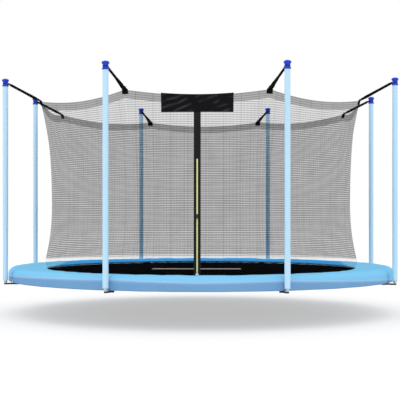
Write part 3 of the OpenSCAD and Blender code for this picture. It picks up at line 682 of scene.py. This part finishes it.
# %% [markdown]
# ## Loops at the mat's edge
# Each triangular ring's straight side lies in a loop of webbing that is sewn to the mat. One
# loop is a short open band bent round that side, and its two ends lie on the mat's hem.

# %% Make the loops
BAR_R, LOOP_END, LOOP_HALF = 1.5780, -0.022, 0.011
inner, outer = 0.0031, 0.0045
bend = np.linspace(-math.pi / 2, math.pi / 2, 9)
curve = [(inner * math.cos(b), -inner * math.sin(b)) for b in bend]
rim = [(outer * math.cos(b), outer * math.sin(b)) for b in bend]
loop_line = np.array([(LOOP_END, inner), *curve, (LOOP_END, -inner),
                      (LOOP_END, -outer), *rim, (LOOP_END, outer)])
sections = np.array([[[BAR_R + x, y, MAT_Z + z] for x, z in loop_line]
                     for y in (-LOOP_HALF, 0.0005 - LOOP_HALF, LOOP_HALF - 0.0005, LOOP_HALF)])
points, faces = join([(turned(sections, math.radians(SPRING_DEGREES * n)), closed_loft(sections))
                      for n in range(SPRINGS)])
make_piece("mat_loops", points, faces, WEBBING, "mat", ["jump_mat"],
           np.concatenate([sections.reshape(-1, 3)] * SPRINGS))
print("mat loops:", SPRINGS)

# %% [markdown]
# ## Springs
# The solids stand for the springs with plain rods. Here each is a real coil: a wire swept
# along a helix that narrows to a hook at each end.

# %% Make the springs
WIRE_R, COIL_R, TURNS = 0.0016, 0.0109, 48
COIL_IN, COIL_OUT = 1.626, 1.796
ROOT_IN, ROOT_OUT = 1.617, 1.806
HOOK_IN, HOOK_OUT = 1.6033, 1.8206
HOOK_BEND, HOOK_TIP, HOOK_RISE = 0.004, 0.006, 0.0044
SPRING_Z = 0.100


def hook(root, root_z, tip, top_z):
    """A spring's hook: from the coil to a quarter bend and a short straight end downwards."""
    way = math.copysign(1, tip - root)
    bend = [(tip - way * HOOK_BEND * (1 - math.sin(a)), 0, top_z - HOOK_BEND * (1 - math.cos(a)))
            for a in np.linspace(0, math.pi / 2, 6)]
    return [(root, 0, root_z), *bend, (tip, 0, top_z - HOOK_BEND - HOOK_TIP)]


t = np.linspace(0, 1, TURNS * 12 + 1)
grow = np.clip(np.minimum(t, 1 - t) * TURNS / 1.5, 0, 1)
coil_radius = COIL_R * np.sin(grow * math.pi / 2)
phase = 2 * math.pi * TURNS * t
coil = np.stack([COIL_IN + (COIL_OUT - COIL_IN) * t, coil_radius * np.cos(phase),
                 SPRING_Z + coil_radius * np.sin(phase)], -1)
inner_hook = hook(ROOT_IN, SPRING_Z + HOOK_RISE * 0.8, HOOK_IN, SPRING_Z + HOOK_RISE)
outer_hook = hook(ROOT_OUT, SPRING_Z, HOOK_OUT, SPRING_Z)
sections = tube_sections(np.concatenate([inner_hook[::-1], coil, outer_hook]), WIRE_R, 6)
faces = closed_loft(sections)
for n in range(SPRINGS):
    angle = math.radians(SPRING_DEGREES * n)
    spring = make_piece(f"spring_{n + 1:02d}", turned(sections, angle), faces, WIRE, "frame",
                        ["springs"], ride=False)
    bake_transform(spring)
print("springs:", SPRINGS, "with", TURNS, "turns each")

# %% [markdown]
# ## Safety pad
# The pad covers the springs and the ring. It is a foam ring in eight lengths, in a coated
# cloth that is crowned on top, rolls over the frame and ends in a thin skirt. One closed
# profile, carried along an arc, gives a length with all of that. Each point of the profile
# also has a share by which the foam may puff it out.

# %% Pad profile
ROLL_W, ROLL_H, CREST_Z, SKIRT_T = 0.060, 0.065, 0.145, 0.004
CREST_R, FIRST_R, EDGE_Z = PAD_OUT - ROLL_W, PAD_IN + 0.012, PAD_Z + 0.017


def pad_profile():
    """Points (radius, height) round the pad, and how far each point may puff out."""
    top = [(FIRST_R + (CREST_R - FIRST_R) * s,
            EDGE_Z + (CREST_Z - EDGE_Z) * math.sin(math.pi / 2 * s))
           for s in np.linspace(0, 1, 14)]
    over = [(CREST_R + ROLL_W * math.sin(a), CREST_Z - ROLL_H + ROLL_H * math.cos(a))
            for a in np.linspace(0, math.pi / 2, 10)[1:]]
    fall = [(PAD_OUT, z) for z in np.linspace(CREST_Z - ROLL_H, SKIRT_LOW, 7)[1:]]
    back = [(PAD_OUT - SKIRT_T, z) for z in np.linspace(SKIRT_LOW, PAD_Z - 0.010, 6)]
    bed = [(r, PAD_Z + 0.0004) for r in np.linspace(PAD_OUT - 0.011, PAD_IN + 0.008, 10)]
    nose = [(PAD_IN + 0.003, PAD_Z + 0.003), (PAD_IN, PAD_Z + 0.008),
            (PAD_IN + 0.003, PAD_Z + 0.0135)]
    parts = ((top, 1.0), (over, 0.8), (fall, 0.5), (back, 0.0), (bed, 0.0), (nose, 0.3))
    return (np.array([point for part, _ in parts for point in part]),
            np.array([share for part, share in parts for _ in part]))


line, puff = pad_profile()
ahead = np.roll(line, -1, 0) - np.roll(line, 1, 0)
normal = np.stack([-ahead[:, 1], ahead[:, 0]], -1)
normal /= np.linalg.norm(normal, axis=1)[:, None]
if ((line - line.mean(0)) * normal).sum() < 0:
    normal = -normal
print("points round the pad's profile:", len(line))

# %% [markdown]
# ### The pad's tones, with painted shade and highlight
# The coated cloth is one sky blue, and its other blues are painted light and shade. A value
# kept at each point says which: 0 is a painted shade of deep blue, on the half away from the
# door and inside the net, 0.3 is the sky blue of the top, and from there to 1 the cloth gets a
# paler painted highlight where it bends over the frame and then a dull blue painted shade on
# the skirt. A table gives the height of that bend at 16 places round the ring, and a colour
# ramp turns the value into a colour.

# %% Tones of the pad's cloth, with painted shade and highlight
FOLD_AT = np.array([0.012, 0.040, 0.066, 0.075, 0.062, 0.050, 0.060, 0.072,
                    0.045, 0.052, 0.070, 0.081, 0.064, 0.074, 0.048, 0.022])
FOLD_UP, FOLD_FADE = 0.0385, 0.030
PAINTED_SHADE_R, PAINTED_SHADE_X = PAD_IN + 0.300, 1.50
FADE_R, FADE_X, FADE_Y = 0.100, 0.04, 0.10
TOP_TONE = 0.3
# Ramp stops: painted shade inside the net, the top's own sky blue, a painted highlight on the bend,
# then painted shade down the skirt.
TONES_AND_PAINTED_LIGHT = ((0.0, (0.01, 0.36, 0.92)), (TOP_TONE, (0.24, 0.63, 0.92)), (0.55, (0.42, 0.63, 0.88)),
         (0.75, (0.29, 0.46, 0.74)), (1.0, (0.19, 0.35, 0.60)))


def tone_with_painted_light(points):
    """The tone at each point: 0 is a painted shade of deep blue, 0.3 the top's own sky blue, and up
    to 1 a painted highlight on the bend, then painted shade on the skirt.
    """
    x, y, z = points[..., 0], points[..., 1], points[..., 2]
    radius, count = np.hypot(x, y), len(FOLD_AT)
    step = np.arctan2(y, x) / (2 * math.pi) * count % count
    low = step.astype(int) % count
    fold_z = FOLD_AT[low] + (FOLD_AT[(low + 1) % count] - FOLD_AT[low]) * (step % 1)
    # skirt: 0 above the bend and 1 below it, through the painted highlight of the bend to the
    # painted shade of the skirt
    skirt = np.clip((fold_z + FOLD_UP - z) / FOLD_FADE, 0, 1) * (radius > PAD_IN + 0.1)
    # deep: painted shade on the pad's inside, on the half away from the door
    deep = (np.clip((PAINTED_SHADE_R - radius) / FADE_R, 0, 1) * np.clip((PAINTED_SHADE_X - abs(x)) / FADE_X, 0, 1)
            * np.clip(y / FADE_Y, 0, 1))
    return TOP_TONE * (1 - deep) + (1 - TOP_TONE) * skirt


def color_by_tone(material):
    """Replace the plain colour of the pad's cloth with the colours along the kept value, which
    paint its shade and highlight.
    """
    kit = Nodes(material.node_tree)
    tone = kit.add("ShaderNodeAttribute", attribute_name="tone").outputs["Fac"]
    ramp = kit.add("ShaderNodeValToRGB", {0: tone})
    scale = ramp.color_ramp.elements
    for place, _ in TONES_AND_PAINTED_LIGHT[1:-1]:
        scale.new(place)
    for stop, (place, color) in zip(scale, TONES_AND_PAINTED_LIGHT):
        stop.position, stop.color = place, (*color, 1)
    base = next(n for n in kit.tree.nodes if n.type == "GROUP" and n.node_tree == uneven)
    kit.put(ramp.outputs["Color"], base.inputs["Color"])


color_by_tone(PAD_CLOTH)
print("tones of the pad:", len(TONES_AND_PAINTED_LIGHT))

# %% [markdown]
# ### The eight lengths
# Each length carries the profile along an eighth of the ring. Soft noise swells the foam and
# makes the skirt's hem wave, and the cloth is pinched in at the seam between two lengths. A
# cloth simulation would give folds too, but a coated foam pad hardly folds: noise is enough.

# %% Make the pad's lengths
PAD_STEPS, SEAM_GAP = 73, 0.0003
PINCH, PINCH_R, PINCH_REACH = 0.0035, 1.8, 0.016
angles = np.linspace(SEAM_GAP / PAD_IN, SECTOR - SEAM_GAP / PAD_IN, PAD_STEPS)
pinch = PINCH * np.exp(-np.minimum(angles, angles[::-1]) * PINCH_R / PINCH_REACH)
reach = np.concatenate([[0], np.linalg.norm(np.diff(line, axis=0), axis=1).cumsum()])
flat = np.stack(np.broadcast_arrays(reach[None, :], (angles * PAD_OUT)[:, None], 0.0), -1)
hang = np.clip((CREST_Z - ROLL_H - line[:, 1]) / 0.06, 0, 1)
for k in range(1, SECTORS + 1):
    sections = []
    swell = 0.0025 * smooth_noise(PAD_STEPS, 12, rng) + 0.0012 * smooth_noise(PAD_STEPS, 30, rng)
    ripple = 0.003 * smooth_noise(PAD_STEPS, 18, rng) - 0.001
    for i, angle in enumerate(angles):
        ring_line = line + normal * (puff * (swell[i] - pinch[i]))[:, None]
        ring_line[:, 0] += hang * (line[:, 0] > PAD_OUT - 0.006) * ripple[i]
        sections.append(on_circle(pole_turn(k) + angle, ring_line[:, 0], ring_line[:, 1]))
    sections = np.array(sections)
    pad = make_piece(f"pad_{k}", sections, closed_loft(sections), PAD_CLOTH, "frame",
                     [f"frame_pad_{k}"], flat)
    # The kept tone carries the pad's painted shade and highlight.
    tone = tone_with_painted_light(sections).astype(np.float32).ravel()
    pad.data.attributes.new("tone", "FLOAT", "POINT").data.foreach_set("value", tone)
print("pad lengths:", SECTORS, "with", len(sections), "sections each")

# %% [markdown]
# ## Foam sleeves and caps
# A steel pole would hurt, so each wears a foam tube in a smooth light-blue cover. The cap is
# a bobbin: the net's strap goes round its neck. Both are profiles turned round the pole.

# %% Make the sleeves and caps
FOAM_ROWS = 40
CAP_LINE = [(0.0008, 0.0), (0.0230, 0.0), (0.0278, 0.0006), (0.0294, 0.0022), (0.0298, 0.0045),
            (0.0298, 0.0100), (0.0288, 0.0122), (0.0264, 0.0137), (0.0242, 0.0145),
            (0.0235, 0.0175), (0.0233, 0.0250), (0.0235, 0.0345), (0.0243, 0.0388),
            (0.0264, 0.0430), (0.0296, 0.0476), (0.0320, 0.0510), (0.0328, 0.0545),
            (0.0325, 0.0578), (0.0310, 0.0614), (0.0276, 0.0650), (0.0222, 0.0682),
            (0.0154, 0.0706), (0.0078, 0.0720), (0.0008, 0.0724)]
heights = np.linspace(FOAM_LOW + 0.004, FOAM_HIGH - 0.004, FOAM_ROWS)
low_rim = [(FOAM_R - 0.0025, FOAM_LOW), (FOAM_R - 0.0006, FOAM_LOW + 0.001)]
high_rim = [(FOAM_R - 0.0006, FOAM_HIGH - 0.001), (FOAM_R - 0.0025, FOAM_HIGH)]
inside = [(FOAM_BORE, FOAM_HIGH), (FOAM_BORE, FOAM_LOW)]
for k in range(1, SECTORS + 1):
    x, y = POLE_R * math.cos(pole_turn(k)), POLE_R * math.sin(pole_turn(k))
    bulge = 0.0004 * smooth_noise(FOAM_ROWS, 9, rng) - 0.0004
    outside = low_rim + [(FOAM_R + b, z) for b, z in zip(bulge, heights)] + high_rim
    sleeve = lathe(outside + inside, 40, f"foam_sleeve_{k}", FOAM_COVER, "frame",
                   ["pole_sleeves"], (x, y), closed=True)
    lathe([(r, CAP_Z + z) for r, z in CAP_LINE], 48, f"pole_cap_{k}", CAP_PLASTIC,
          "frame", ["pole_caps"], (x, y))
print("sleeves and caps:", SECTORS)

# %% [markdown]
# ## Banner and door
# The banner is plain black cloth sewn over the hem at the door. It was packed folded, which
# leaves faint creases that run aslant. They are too slight for the mesh, so their highlights are
# painted: a wave texture laid aslant, broken up by a noise, lightens the black a little, as light
# catching the creases would.


# %% Painted highlights on the banner's creases
CREASE_SLANT, CREASE_HIGHLIGHT = math.radians(-110), (0.036, 0.036, 0.041)


def paint_crease_highlights(material):
    """Paint faint highlights along the slanting creases of a cloth that was packed folded."""
    kit = Nodes(material.node_tree)
    place, _, _ = cloth_place(kit)
    slanted = kit.add("ShaderNodeMapping", {"Vector": place, "Rotation": (0, 0, CREASE_SLANT)})
    wave = kit.add("ShaderNodeTexWave", {"Vector": slanted.outputs[0], "Scale": 6.0,
                                         "Distortion": 3.0, "Detail": 2.0, "Detail Scale": 1.0})
    cloud = kit.add("ShaderNodeTexNoise", {"Vector": place, "Scale": 7.0, "Detail": 1.0})
    # painted highlight where light would catch the creases, broken into patches
    patches = kit.math("MULTIPLY_ADD", cloud.outputs[0], 5.0, -2.2, clamp=True)
    mask = kit.math("MULTIPLY", kit.math("POWER", wave.outputs[1], 3.0), patches)
    paint_over(kit, material, mask, CREASE_HIGHLIGHT)


paint_crease_highlights(BANNER_CLOTH)
print("creases on:", BANNER_CLOTH.name)

# %% [markdown]
# The banner itself is a grid on the net's wall, a few millimetres in front of the hem. It gets
# a second grid behind it and a rim between the two, so that it has a thickness at its edges.

# %% Make the banner
BANNER_OUT, BANNER_OVER, BANNER_T, RIPPLE = 0.0038, 0.008, 0.0016, 0.0004
end_u = math.asin(BANNER_W / 2 / float(top_radius(0.5))) / HALF
banner_v = np.linspace(0, 1, 15)
front = wall_grid(DOOR, np.linspace(-end_u, end_u, 41), banner_v, lambda u: BANNER_LOW + 0 * u,
                  lambda u: hem_top(u) + BANNER_OVER, out=BANNER_OUT)
flat = cloth_coordinates(front)
front[..., 1] -= RIPPLE * np.sin(flat[..., 0] * 40 + 1.3) * np.sin(math.pi * banner_v)[:, None]
rows, cols = front.shape[:2]
count = rows * cols
index = np.arange(count).reshape(rows, cols)
rim = [*index[0], *index[1:, -1], *index[-1, -2::-1], *index[-2:0:-1, 0]]
faces = grid_faces(rows, cols)
faces += [[i + count for i in face[::-1]] for face in faces]
faces += [[int(a), int(a + count), int(b + count), int(b)] for a, b in zip(rim, rim[1:] + rim[:1])]
shell = np.concatenate([front.reshape(-1, 3), (front + [0, BANNER_T, 0]).reshape(-1, 3)])
banner = make_piece("banner_cloth", shell, faces, BANNER_CLOTH, "frame",
                    ["banner"], np.concatenate([flat.reshape(-1, 3)] * 2))

# %% [markdown]
# ### The door's own frame
# The door leans inwards by under two degrees, because the net's top edge is nearer to the
# axis than its foot. Its pieces are made upright, with -Y outwards, and then leaned.


# %% The door's frame
LEAN = math.atan((FOOT_R - float(top_radius(0.0))) / (TOP_Z - FOOT_Z))


def on_door(points):
    """Lean upright points back onto the door's line."""
    c, s = math.cos(LEAN), math.sin(LEAN)
    p = np.asarray(points, float)
    return np.stack([p[..., 0], -FOOT_R + p[..., 1] * c + p[..., 2] * s,
                     FOOT_Z - p[..., 1] * s + p[..., 2] * c], -1)


def door_height(z):
    """How far along the leaning door a height is."""
    return (z - FOOT_Z) / math.cos(LEAN)


def rounded_bar(half_w, back, front, soft, low, high, steps):
    """An upright bar with softened edges: its sections from low to high."""
    line = np.array([(-half_w, back), (-half_w, front + soft), (-half_w + soft, front),
                     (half_w - soft, front), (half_w, front + soft), (half_w, back)])
    return np.array([[[x, y, z] for x, y in line] for z in np.linspace(low, high, steps)])


print("the door leans by", round(math.degrees(LEAN), 2), "degrees")

# %% [markdown]
# ### Strip and zip
# A stiff band of webbing runs from the banner down to the pad and carries the zip: a yellow
# tape with teeth that stand left and right in turn. The tape ends above the solid stop at its
# foot, and the slider that runs along it is a solid too.

# %% Make the strip and the zip
STRIP_LOW, STRIP_W, STRIP_T, STRIP_BACK = 0.134, 0.059, 0.0025, -0.0018
ZIP_TOP, STOP_H, TOOTH_PITCH = 1.114, 0.0143, 0.0045
TOOTH_LINE = ((-0.0007, 0.0), (-0.0007, 0.0017), (-0.0002, 0.0022), (0.0021, 0.0022),
              (0.0025, 0.0017), (0.0025, 0.0))
strip_front = STRIP_BACK - STRIP_T
low, high = door_height(STRIP_LOW), door_height(BANNER_LOW) - 0.0003
strip = rounded_bar(STRIP_W / 2, STRIP_BACK, strip_front, 0.0008, low, high, 60)
door_strip = make_piece("door_band", on_door(strip), closed_loft(strip), BAND_CLOTH, "frame",
                        ["door_strip"], strip[..., [0, 2, 1]])
zip_low, zip_high = low + STOP_H, door_height(ZIP_TOP)
tape = rounded_bar(0.006, strip_front - 0.0001, strip_front - 0.0012, 0.0003, zip_low, zip_high, 40)
make_piece("zip_tape", on_door(tape), closed_loft(tape), ZIP_YELLOW, "frame",
           ["zip_chain"], tape[..., [0, 2, 1]])
teeth = []
for n in range(int((zip_high - zip_low) / TOOTH_PITCH)):
    side = 1 if n % 2 else -1
    foot = zip_low + TOOTH_PITCH * n + 0.0004
    tooth = np.array([[[side * x, strip_front - 0.0011 - y, foot + z] for x, y in TOOTH_LINE]
                      for z in (0.0, TOOTH_PITCH * 0.72)])
    teeth.append((on_door(tooth), closed_loft(tooth)))
points, faces = join(teeth)
make_piece("zip_teeth", points, faces, ZIP_YELLOW, "frame", ["zip_chain"])
print("zip teeth:", len(teeth))

# %% [markdown]
# ## Straps at the corners
# A cord loop lies round the cap's neck. One long webbing is folded over it, and its two halves
# come down side by side, standing upright. Lower down they part, spread and are looped round
# the outer bar of the wire ring. The sizes come first, with the strap's own directions.

# %% Sizes of a strap
NECK_Z = CAP_Z + 0.0265
CORD_LOOP_R, CORD_R, CORD_PULL, BAR_WIRE_R = 0.0256, 0.002, 0.004, 0.0025
BAR_X, BAR_Z = CORNER_R + 0.0038, TOP_Z + 0.0068
RING_REACH, LEG_Y, STRAP_SPLIT = 0.018, 0.013, 0.178
LAYER_W, LOOP_W, LAYER_T = 0.023, 0.014, 0.0052
CORD_TURN, CORD_TURNED, BAR_TURN, BAR_TURNED, LOOP_BACK = 0.024, 0.006, 0.034, 0.010, 0.030
rise = math.atan((NECK_Z - BAR_Z) / (POLE_R - CORD_LOOP_R - BAR_X))
span = (POLE_R - CORD_LOOP_R - BAR_X) / math.cos(rise) - CORD_PULL
forward = np.array([math.cos(rise), 0, math.sin(rise)])
above = np.array([-math.sin(rise), 0, math.cos(rise)])
bar = np.array([BAR_X, 0, BAR_Z])
print("a strap spans", round(span, 3), "m and rises", round(math.degrees(rise), 1), "degrees")

# %% [markdown]
# A half of the strap is a flat section moved along a path, and it turns on the way: it lies
# flat round the cord and round the bar, and stands upright between them. Blender's curves can
# tilt a profile too, but here each point's tilt and width come straight from numbers.


# %% A turning ribbon
EDGE_AT, EDGE_T = 0.9, 0.3
ACROSS = np.array([-1, -EDGE_AT, EDGE_AT, 1, 1, EDGE_AT, -EDGE_AT, -1])
THICK = np.array([EDGE_T, 1, 1, EDGE_T, -EDGE_T, -1, -1, -EDGE_T])


def ribbon(line, upright, widths):
    """Sections along a line of (forward, beside, above); upright is 1 standing and 0 flat."""
    line = np.asarray(line, float)
    ahead = np.gradient(line, axis=0)
    ahead /= np.linalg.norm(ahead, axis=1)[:, None]
    sections = []
    for p, a, u, width in zip(line, ahead, upright, widths):
        up = np.cross(a, [0, 1, 0])
        up *= -1 / np.linalg.norm(up)
        beside = np.cross(up, a)
        c, s = math.cos(u * math.pi / 2), math.sin(u * math.pi / 2)
        w, t = (c * beside + s * up) * width / 2, (c * up - s * beside) * LAYER_T / 2
        sections.append(p + ACROSS[:, None] * w + THICK[:, None] * t)
    sections = np.array(sections)
    world = bar + sections[..., :1] * forward + sections[..., 2:] * above
    world[..., 1] += sections[..., 1]
    reach = np.concatenate([[0], np.linalg.norm(np.diff(line, axis=0), axis=1).cumsum()])
    flat = np.zeros(sections.shape)
    flat[..., 0] = ACROSS * LAYER_W / 2
    flat[..., 1] = reach[:, None]
    return world, flat


cord_fold = CORD_R + 0.0002 + LAYER_T / 2
bar_fold = BAR_WIRE_R + 0.0002 + LAYER_T / 2
print("a fold's radius round the bar:", round(bar_fold, 4), "m")

# %% [markdown]
# One function makes either half, from the cord down to the bar. Along the way it eases from
# flat to upright and back to flat, moves sideways where the halves part, and gets narrower
# towards the loop. The bend over the cord joins the two halves.


# %% One half of a strap
def strap_half(side):
    """From the cord down to the ring's bar, round it and a little way back."""
    s = np.linspace(span, RING_REACH, 60)
    near_cord = ease((s - (span - CORD_TURN)) / (CORD_TURN - CORD_TURNED))
    near_bar = ease((RING_REACH + BAR_TURN - s) / (BAR_TURN - BAR_TURNED))
    spread = np.clip((STRAP_SPLIT - s) / (STRAP_SPLIT - RING_REACH - BAR_TURNED), 0, 1)
    beside = side * (LAYER_T / 2 * (1 - near_cord) + (LEG_Y - LAYER_T / 2) * spread)
    height = side * cord_fold * near_cord + bar_fold * near_bar
    line = list(np.stack([s, beside, height], -1))
    turn = np.linspace(math.pi / 2, -math.pi / 2, 9)[1:]
    line += [(RING_REACH - bar_fold * math.cos(a), side * LEG_Y, bar_fold * math.sin(a))
             for a in turn]
    back = np.linspace(RING_REACH + 0.004, RING_REACH + LOOP_BACK, 5)
    line += [(b, side * LEG_Y * 0.97, -bar_fold) for b in back]
    upright = np.full(len(line), 1.0 - side)
    upright[:len(s)] = 1 - near_cord - side * near_bar
    widths = np.full(len(line), LOOP_W)
    widths[:len(s)] = LAYER_W + (LOOP_W - LAYER_W) * near_bar
    return ribbon(line, upright, widths)


turn = np.linspace(math.pi / 2, -math.pi / 2, 9)
cord_bend = ribbon([(span + cord_fold * math.cos(a), 0, cord_fold * math.sin(a)) for a in turn],
                   np.zeros(9), np.full(9, LAYER_W))
parts = [strap_half(-1), strap_half(1), cord_bend]
print("points along a half:", len(parts[0][0]))

# %% [markdown]
# The cord's loop is a ring of small circles round the cap's neck, pulled out a little on the
# strap's side. Halves, bend and cord are joined to one mesh, which is turned to each pole.

# %% Make the straps
CORD_STEPS, CORD_SIDES, PULL_SPREAD = 48, 8, 0.45
around = np.linspace(0, 2 * math.pi, CORD_STEPS, endpoint=False)[:, None]
about = np.linspace(0, 2 * math.pi, CORD_SIDES, endpoint=False)
pull = CORD_PULL * np.exp(-((around - math.pi) / PULL_SPREAD) ** 2)
cord_r = CORD_LOOP_R + pull * math.cos(rise) + CORD_R * np.cos(about)
cord = np.stack([POLE_R + cord_r * np.cos(around), cord_r * np.sin(around),
                 NECK_Z - pull * math.sin(rise) + CORD_R * np.sin(about)], -1)
points, faces = join([(world, closed_loft(world)) for world, _ in parts]
                     + [(cord, grid_faces(CORD_STEPS, CORD_SIDES, True, True))])
flat = np.concatenate([own.reshape(-1, 3) for own in (*(f for _, f in parts), cord)])
for k in range(1, SECTORS + 1):
    make_piece(f"net_strap_{k}", turned(points, pole_turn(k)), faces, WEBBING, "frame",
               ["net_straps"], flat)
print("straps:", SECTORS)

# %% [markdown]
# ## Tabs at the corners
# A sewn tab is folded round the hem's corner, where two panels meet. The loop along its top
# holds the inner bar of the wire ring.

# %% Make the tabs
TAB_W, TAB_H, TAB_T, TAB_RISE, TAB_OUT = 0.058, 0.044, 0.004, 0.004, 0.0018
TAB_LOOP_HALF, TAB_LOOP_IN, TAB_LOOP_OUT, LOOP_STEPS = 0.016, 0.0031, 0.0078, 24


def net_radius(u, z):
    """The radius of the net's wall at one point, as a plain number."""
    return float(wall_radius(u, np.array(z)))


hem_lean = math.atan((net_radius(1.0, TOP_Z) - net_radius(1.0, TOP_Z - HEM_H)) / HEM_H)
wing_u = 1 - math.atan(TAB_W / 2 / CORNER_R) / HALF
wing_x = net_radius(wing_u, TOP_Z - TAB_H) * math.cos(HALF * (1 - wing_u))
drop = (net_radius(1.0, TOP_Z - TAB_H) - wing_x) * math.cos(hem_lean)
across = np.linspace(-1, 1, 15)
fold = np.sqrt(across ** 2 + 0.01) - 0.1
tab_rows = np.linspace(TAB_RISE - TAB_H, TAB_RISE, 9)
sections = []
for z in tab_rows:
    wide = TAB_W / 2 * (1 - 0.06 * (z - tab_rows[0]) / TAB_H)
    outer = [(TAB_T - drop * f, wide * a, z) for a, f in zip(across, fold)]
    inner = [(0.0002 - drop * f, wide * a, z) for a, f in zip(across[::-1], fold[::-1])]
    sections.append(outer + inner)
sections = np.array(sections)
c, s = math.cos(hem_lean), math.sin(hem_lean)
leaned = np.stack([CORNER_R + TAB_OUT + sections[..., 0] * c + sections[..., 2] * s,
                   sections[..., 1], TOP_Z - sections[..., 0] * s + sections[..., 2] * c], -1)
loop_line = [(TAB_LOOP_IN, -TAB_LOOP_HALF), (TAB_LOOP_OUT, -TAB_LOOP_HALF),
             (TAB_LOOP_OUT, TAB_LOOP_HALF), (TAB_LOOP_IN, TAB_LOOP_HALF)]
loop = np.array([[[BAR_X + r * math.cos(a), y, BAR_Z + r * math.sin(a)] for r, y in loop_line]
                 for a in np.linspace(0, 2 * math.pi, LOOP_STEPS, endpoint=False)])
points, faces = join([(leaned, closed_loft(sections)),
                      (loop, grid_faces(LOOP_STEPS, len(loop_line), True, True))])
flat = np.concatenate([sections[..., [1, 2, 0]].reshape(-1, 3), loop.reshape(-1, 3)])
for k in range(1, SECTORS + 1):
    make_piece(f"corner_patch_{k}", turned(points, pole_turn(k)), faces, WEBBING, "frame",
               ["corner_tabs"], flat)
print("tabs:", SECTORS)

# %% [markdown]
# ## Stage
# A plain floor lies below the part and takes its soft shadow. The camera sees it as a grey
# floor with a glow, which together make white, so that only the shadow is grey. All other
# rays see a white floor, which throws its light back up at the part.

# %% Floor
FLOOR_Z, FLOOR_HALF, GLOW = -0.31, 60.0, 0.480
floor_material, kit, shader = new_material("Studio floor")
shader.inputs["Base Color"].default_value = (0.82, 0.82, 0.82, 1)
shader.inputs["Roughness"].default_value = 0.9
shader.inputs["Specular IOR Level"].default_value = 0.0
shown = kit.add("ShaderNodeBsdfDiffuse", {"Color": (0.50, 0.50, 0.50, 1)})
glow = kit.add("ShaderNodeEmission", {"Color": (1, 1, 1, 1), "Strength": GLOW})
rays = kit.add("ShaderNodeLightPath")
both = kit.add("ShaderNodeAddShader", {0: shown.outputs[0], 1: glow.outputs[0]})
seen = kit.add("ShaderNodeMixShader", {0: rays.outputs["Is Camera Ray"], 1: shader.outputs[0],
                                       2: both.outputs[0]})
output = next(n for n in kit.tree.nodes if n.type == "OUTPUT_MATERIAL")
kit.put(seen.outputs[0], output.inputs["Surface"])
corners = [(x * FLOOR_HALF, y * FLOOR_HALF, FLOOR_Z)
           for x, y in ((-1, -1), (1, -1), (1, 1), (-1, 1))]
floor_mesh = bpy.data.meshes.new("studio_floor")
floor_mesh.from_pydata(corners, [], [[0, 1, 2, 3]])
floor_mesh.materials.append(floor_material)
floor = bpy.data.objects.new("studio_floor", floor_mesh)
bpy.context.scene.collection.objects.link(floor)
floor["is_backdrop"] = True
print("floor at", FLOOR_Z, "m")

# %% [markdown]
# ## Light
# An even white sky gives a shadow with no hard edge, as a tent of white cloth does in a
# studio, and one weak and very wide sun adds a little form. At this strength white cloth
# turned up to the sky is just white, so each colour renders about as it is written.

# %% Sky and lamp
studio = bpy.data.worlds.new("Studio")
bpy.context.scene.world = studio
studio.use_nodes = True
kit = Nodes(studio.node_tree)
studio.node_tree.nodes.clear()
sky = kit.add("ShaderNodeBackground", {"Color": (1, 1, 1, 1), "Strength": 1.0})
kit.add("ShaderNodeOutputWorld", {"Surface": sky.outputs[0]})
lamp_data = bpy.data.lights.new("Soft sun", "SUN")
lamp_data.energy = 0.5
lamp_data.angle = math.radians(60)
lamp = bpy.data.objects.new("Soft sun", lamp_data)
lamp.rotation_euler = (math.radians(32), 0, math.radians(-12))
bpy.context.scene.collection.objects.link(lamp)
print("sun:", lamp_data.energy)

# %% [markdown]
# ## Camera
# A long lens from ten metres away, a little above the mat's height, shows the mat as a thin
# ellipse and keeps the poles upright. The shift moves the view without tilting it.

# %% Camera
camera_data = bpy.data.cameras.new("Camera")
camera_data.lens = 90.5
camera_data.sensor_width = 36.0
camera_data.shift_y = 0.0435
camera = bpy.data.objects.new("Camera", camera_data)
camera.location = (0.219, -9.991, 0.6205)
camera.rotation_euler = (math.radians(90), 0, math.radians(1.32))
bpy.context.scene.collection.objects.link(camera)
bpy.context.scene.camera = camera
bpy.context.scene.view_settings.view_transform = "Standard"
print("camera lens:", camera_data.lens, "mm")

# %% [markdown]
# ## The dressed part's size
# The box of every shown piece, without the floor, is printed.

# %% Print the size
low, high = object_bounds()
print("visual box:", [round(v, 3) for v in (*low, *high)])
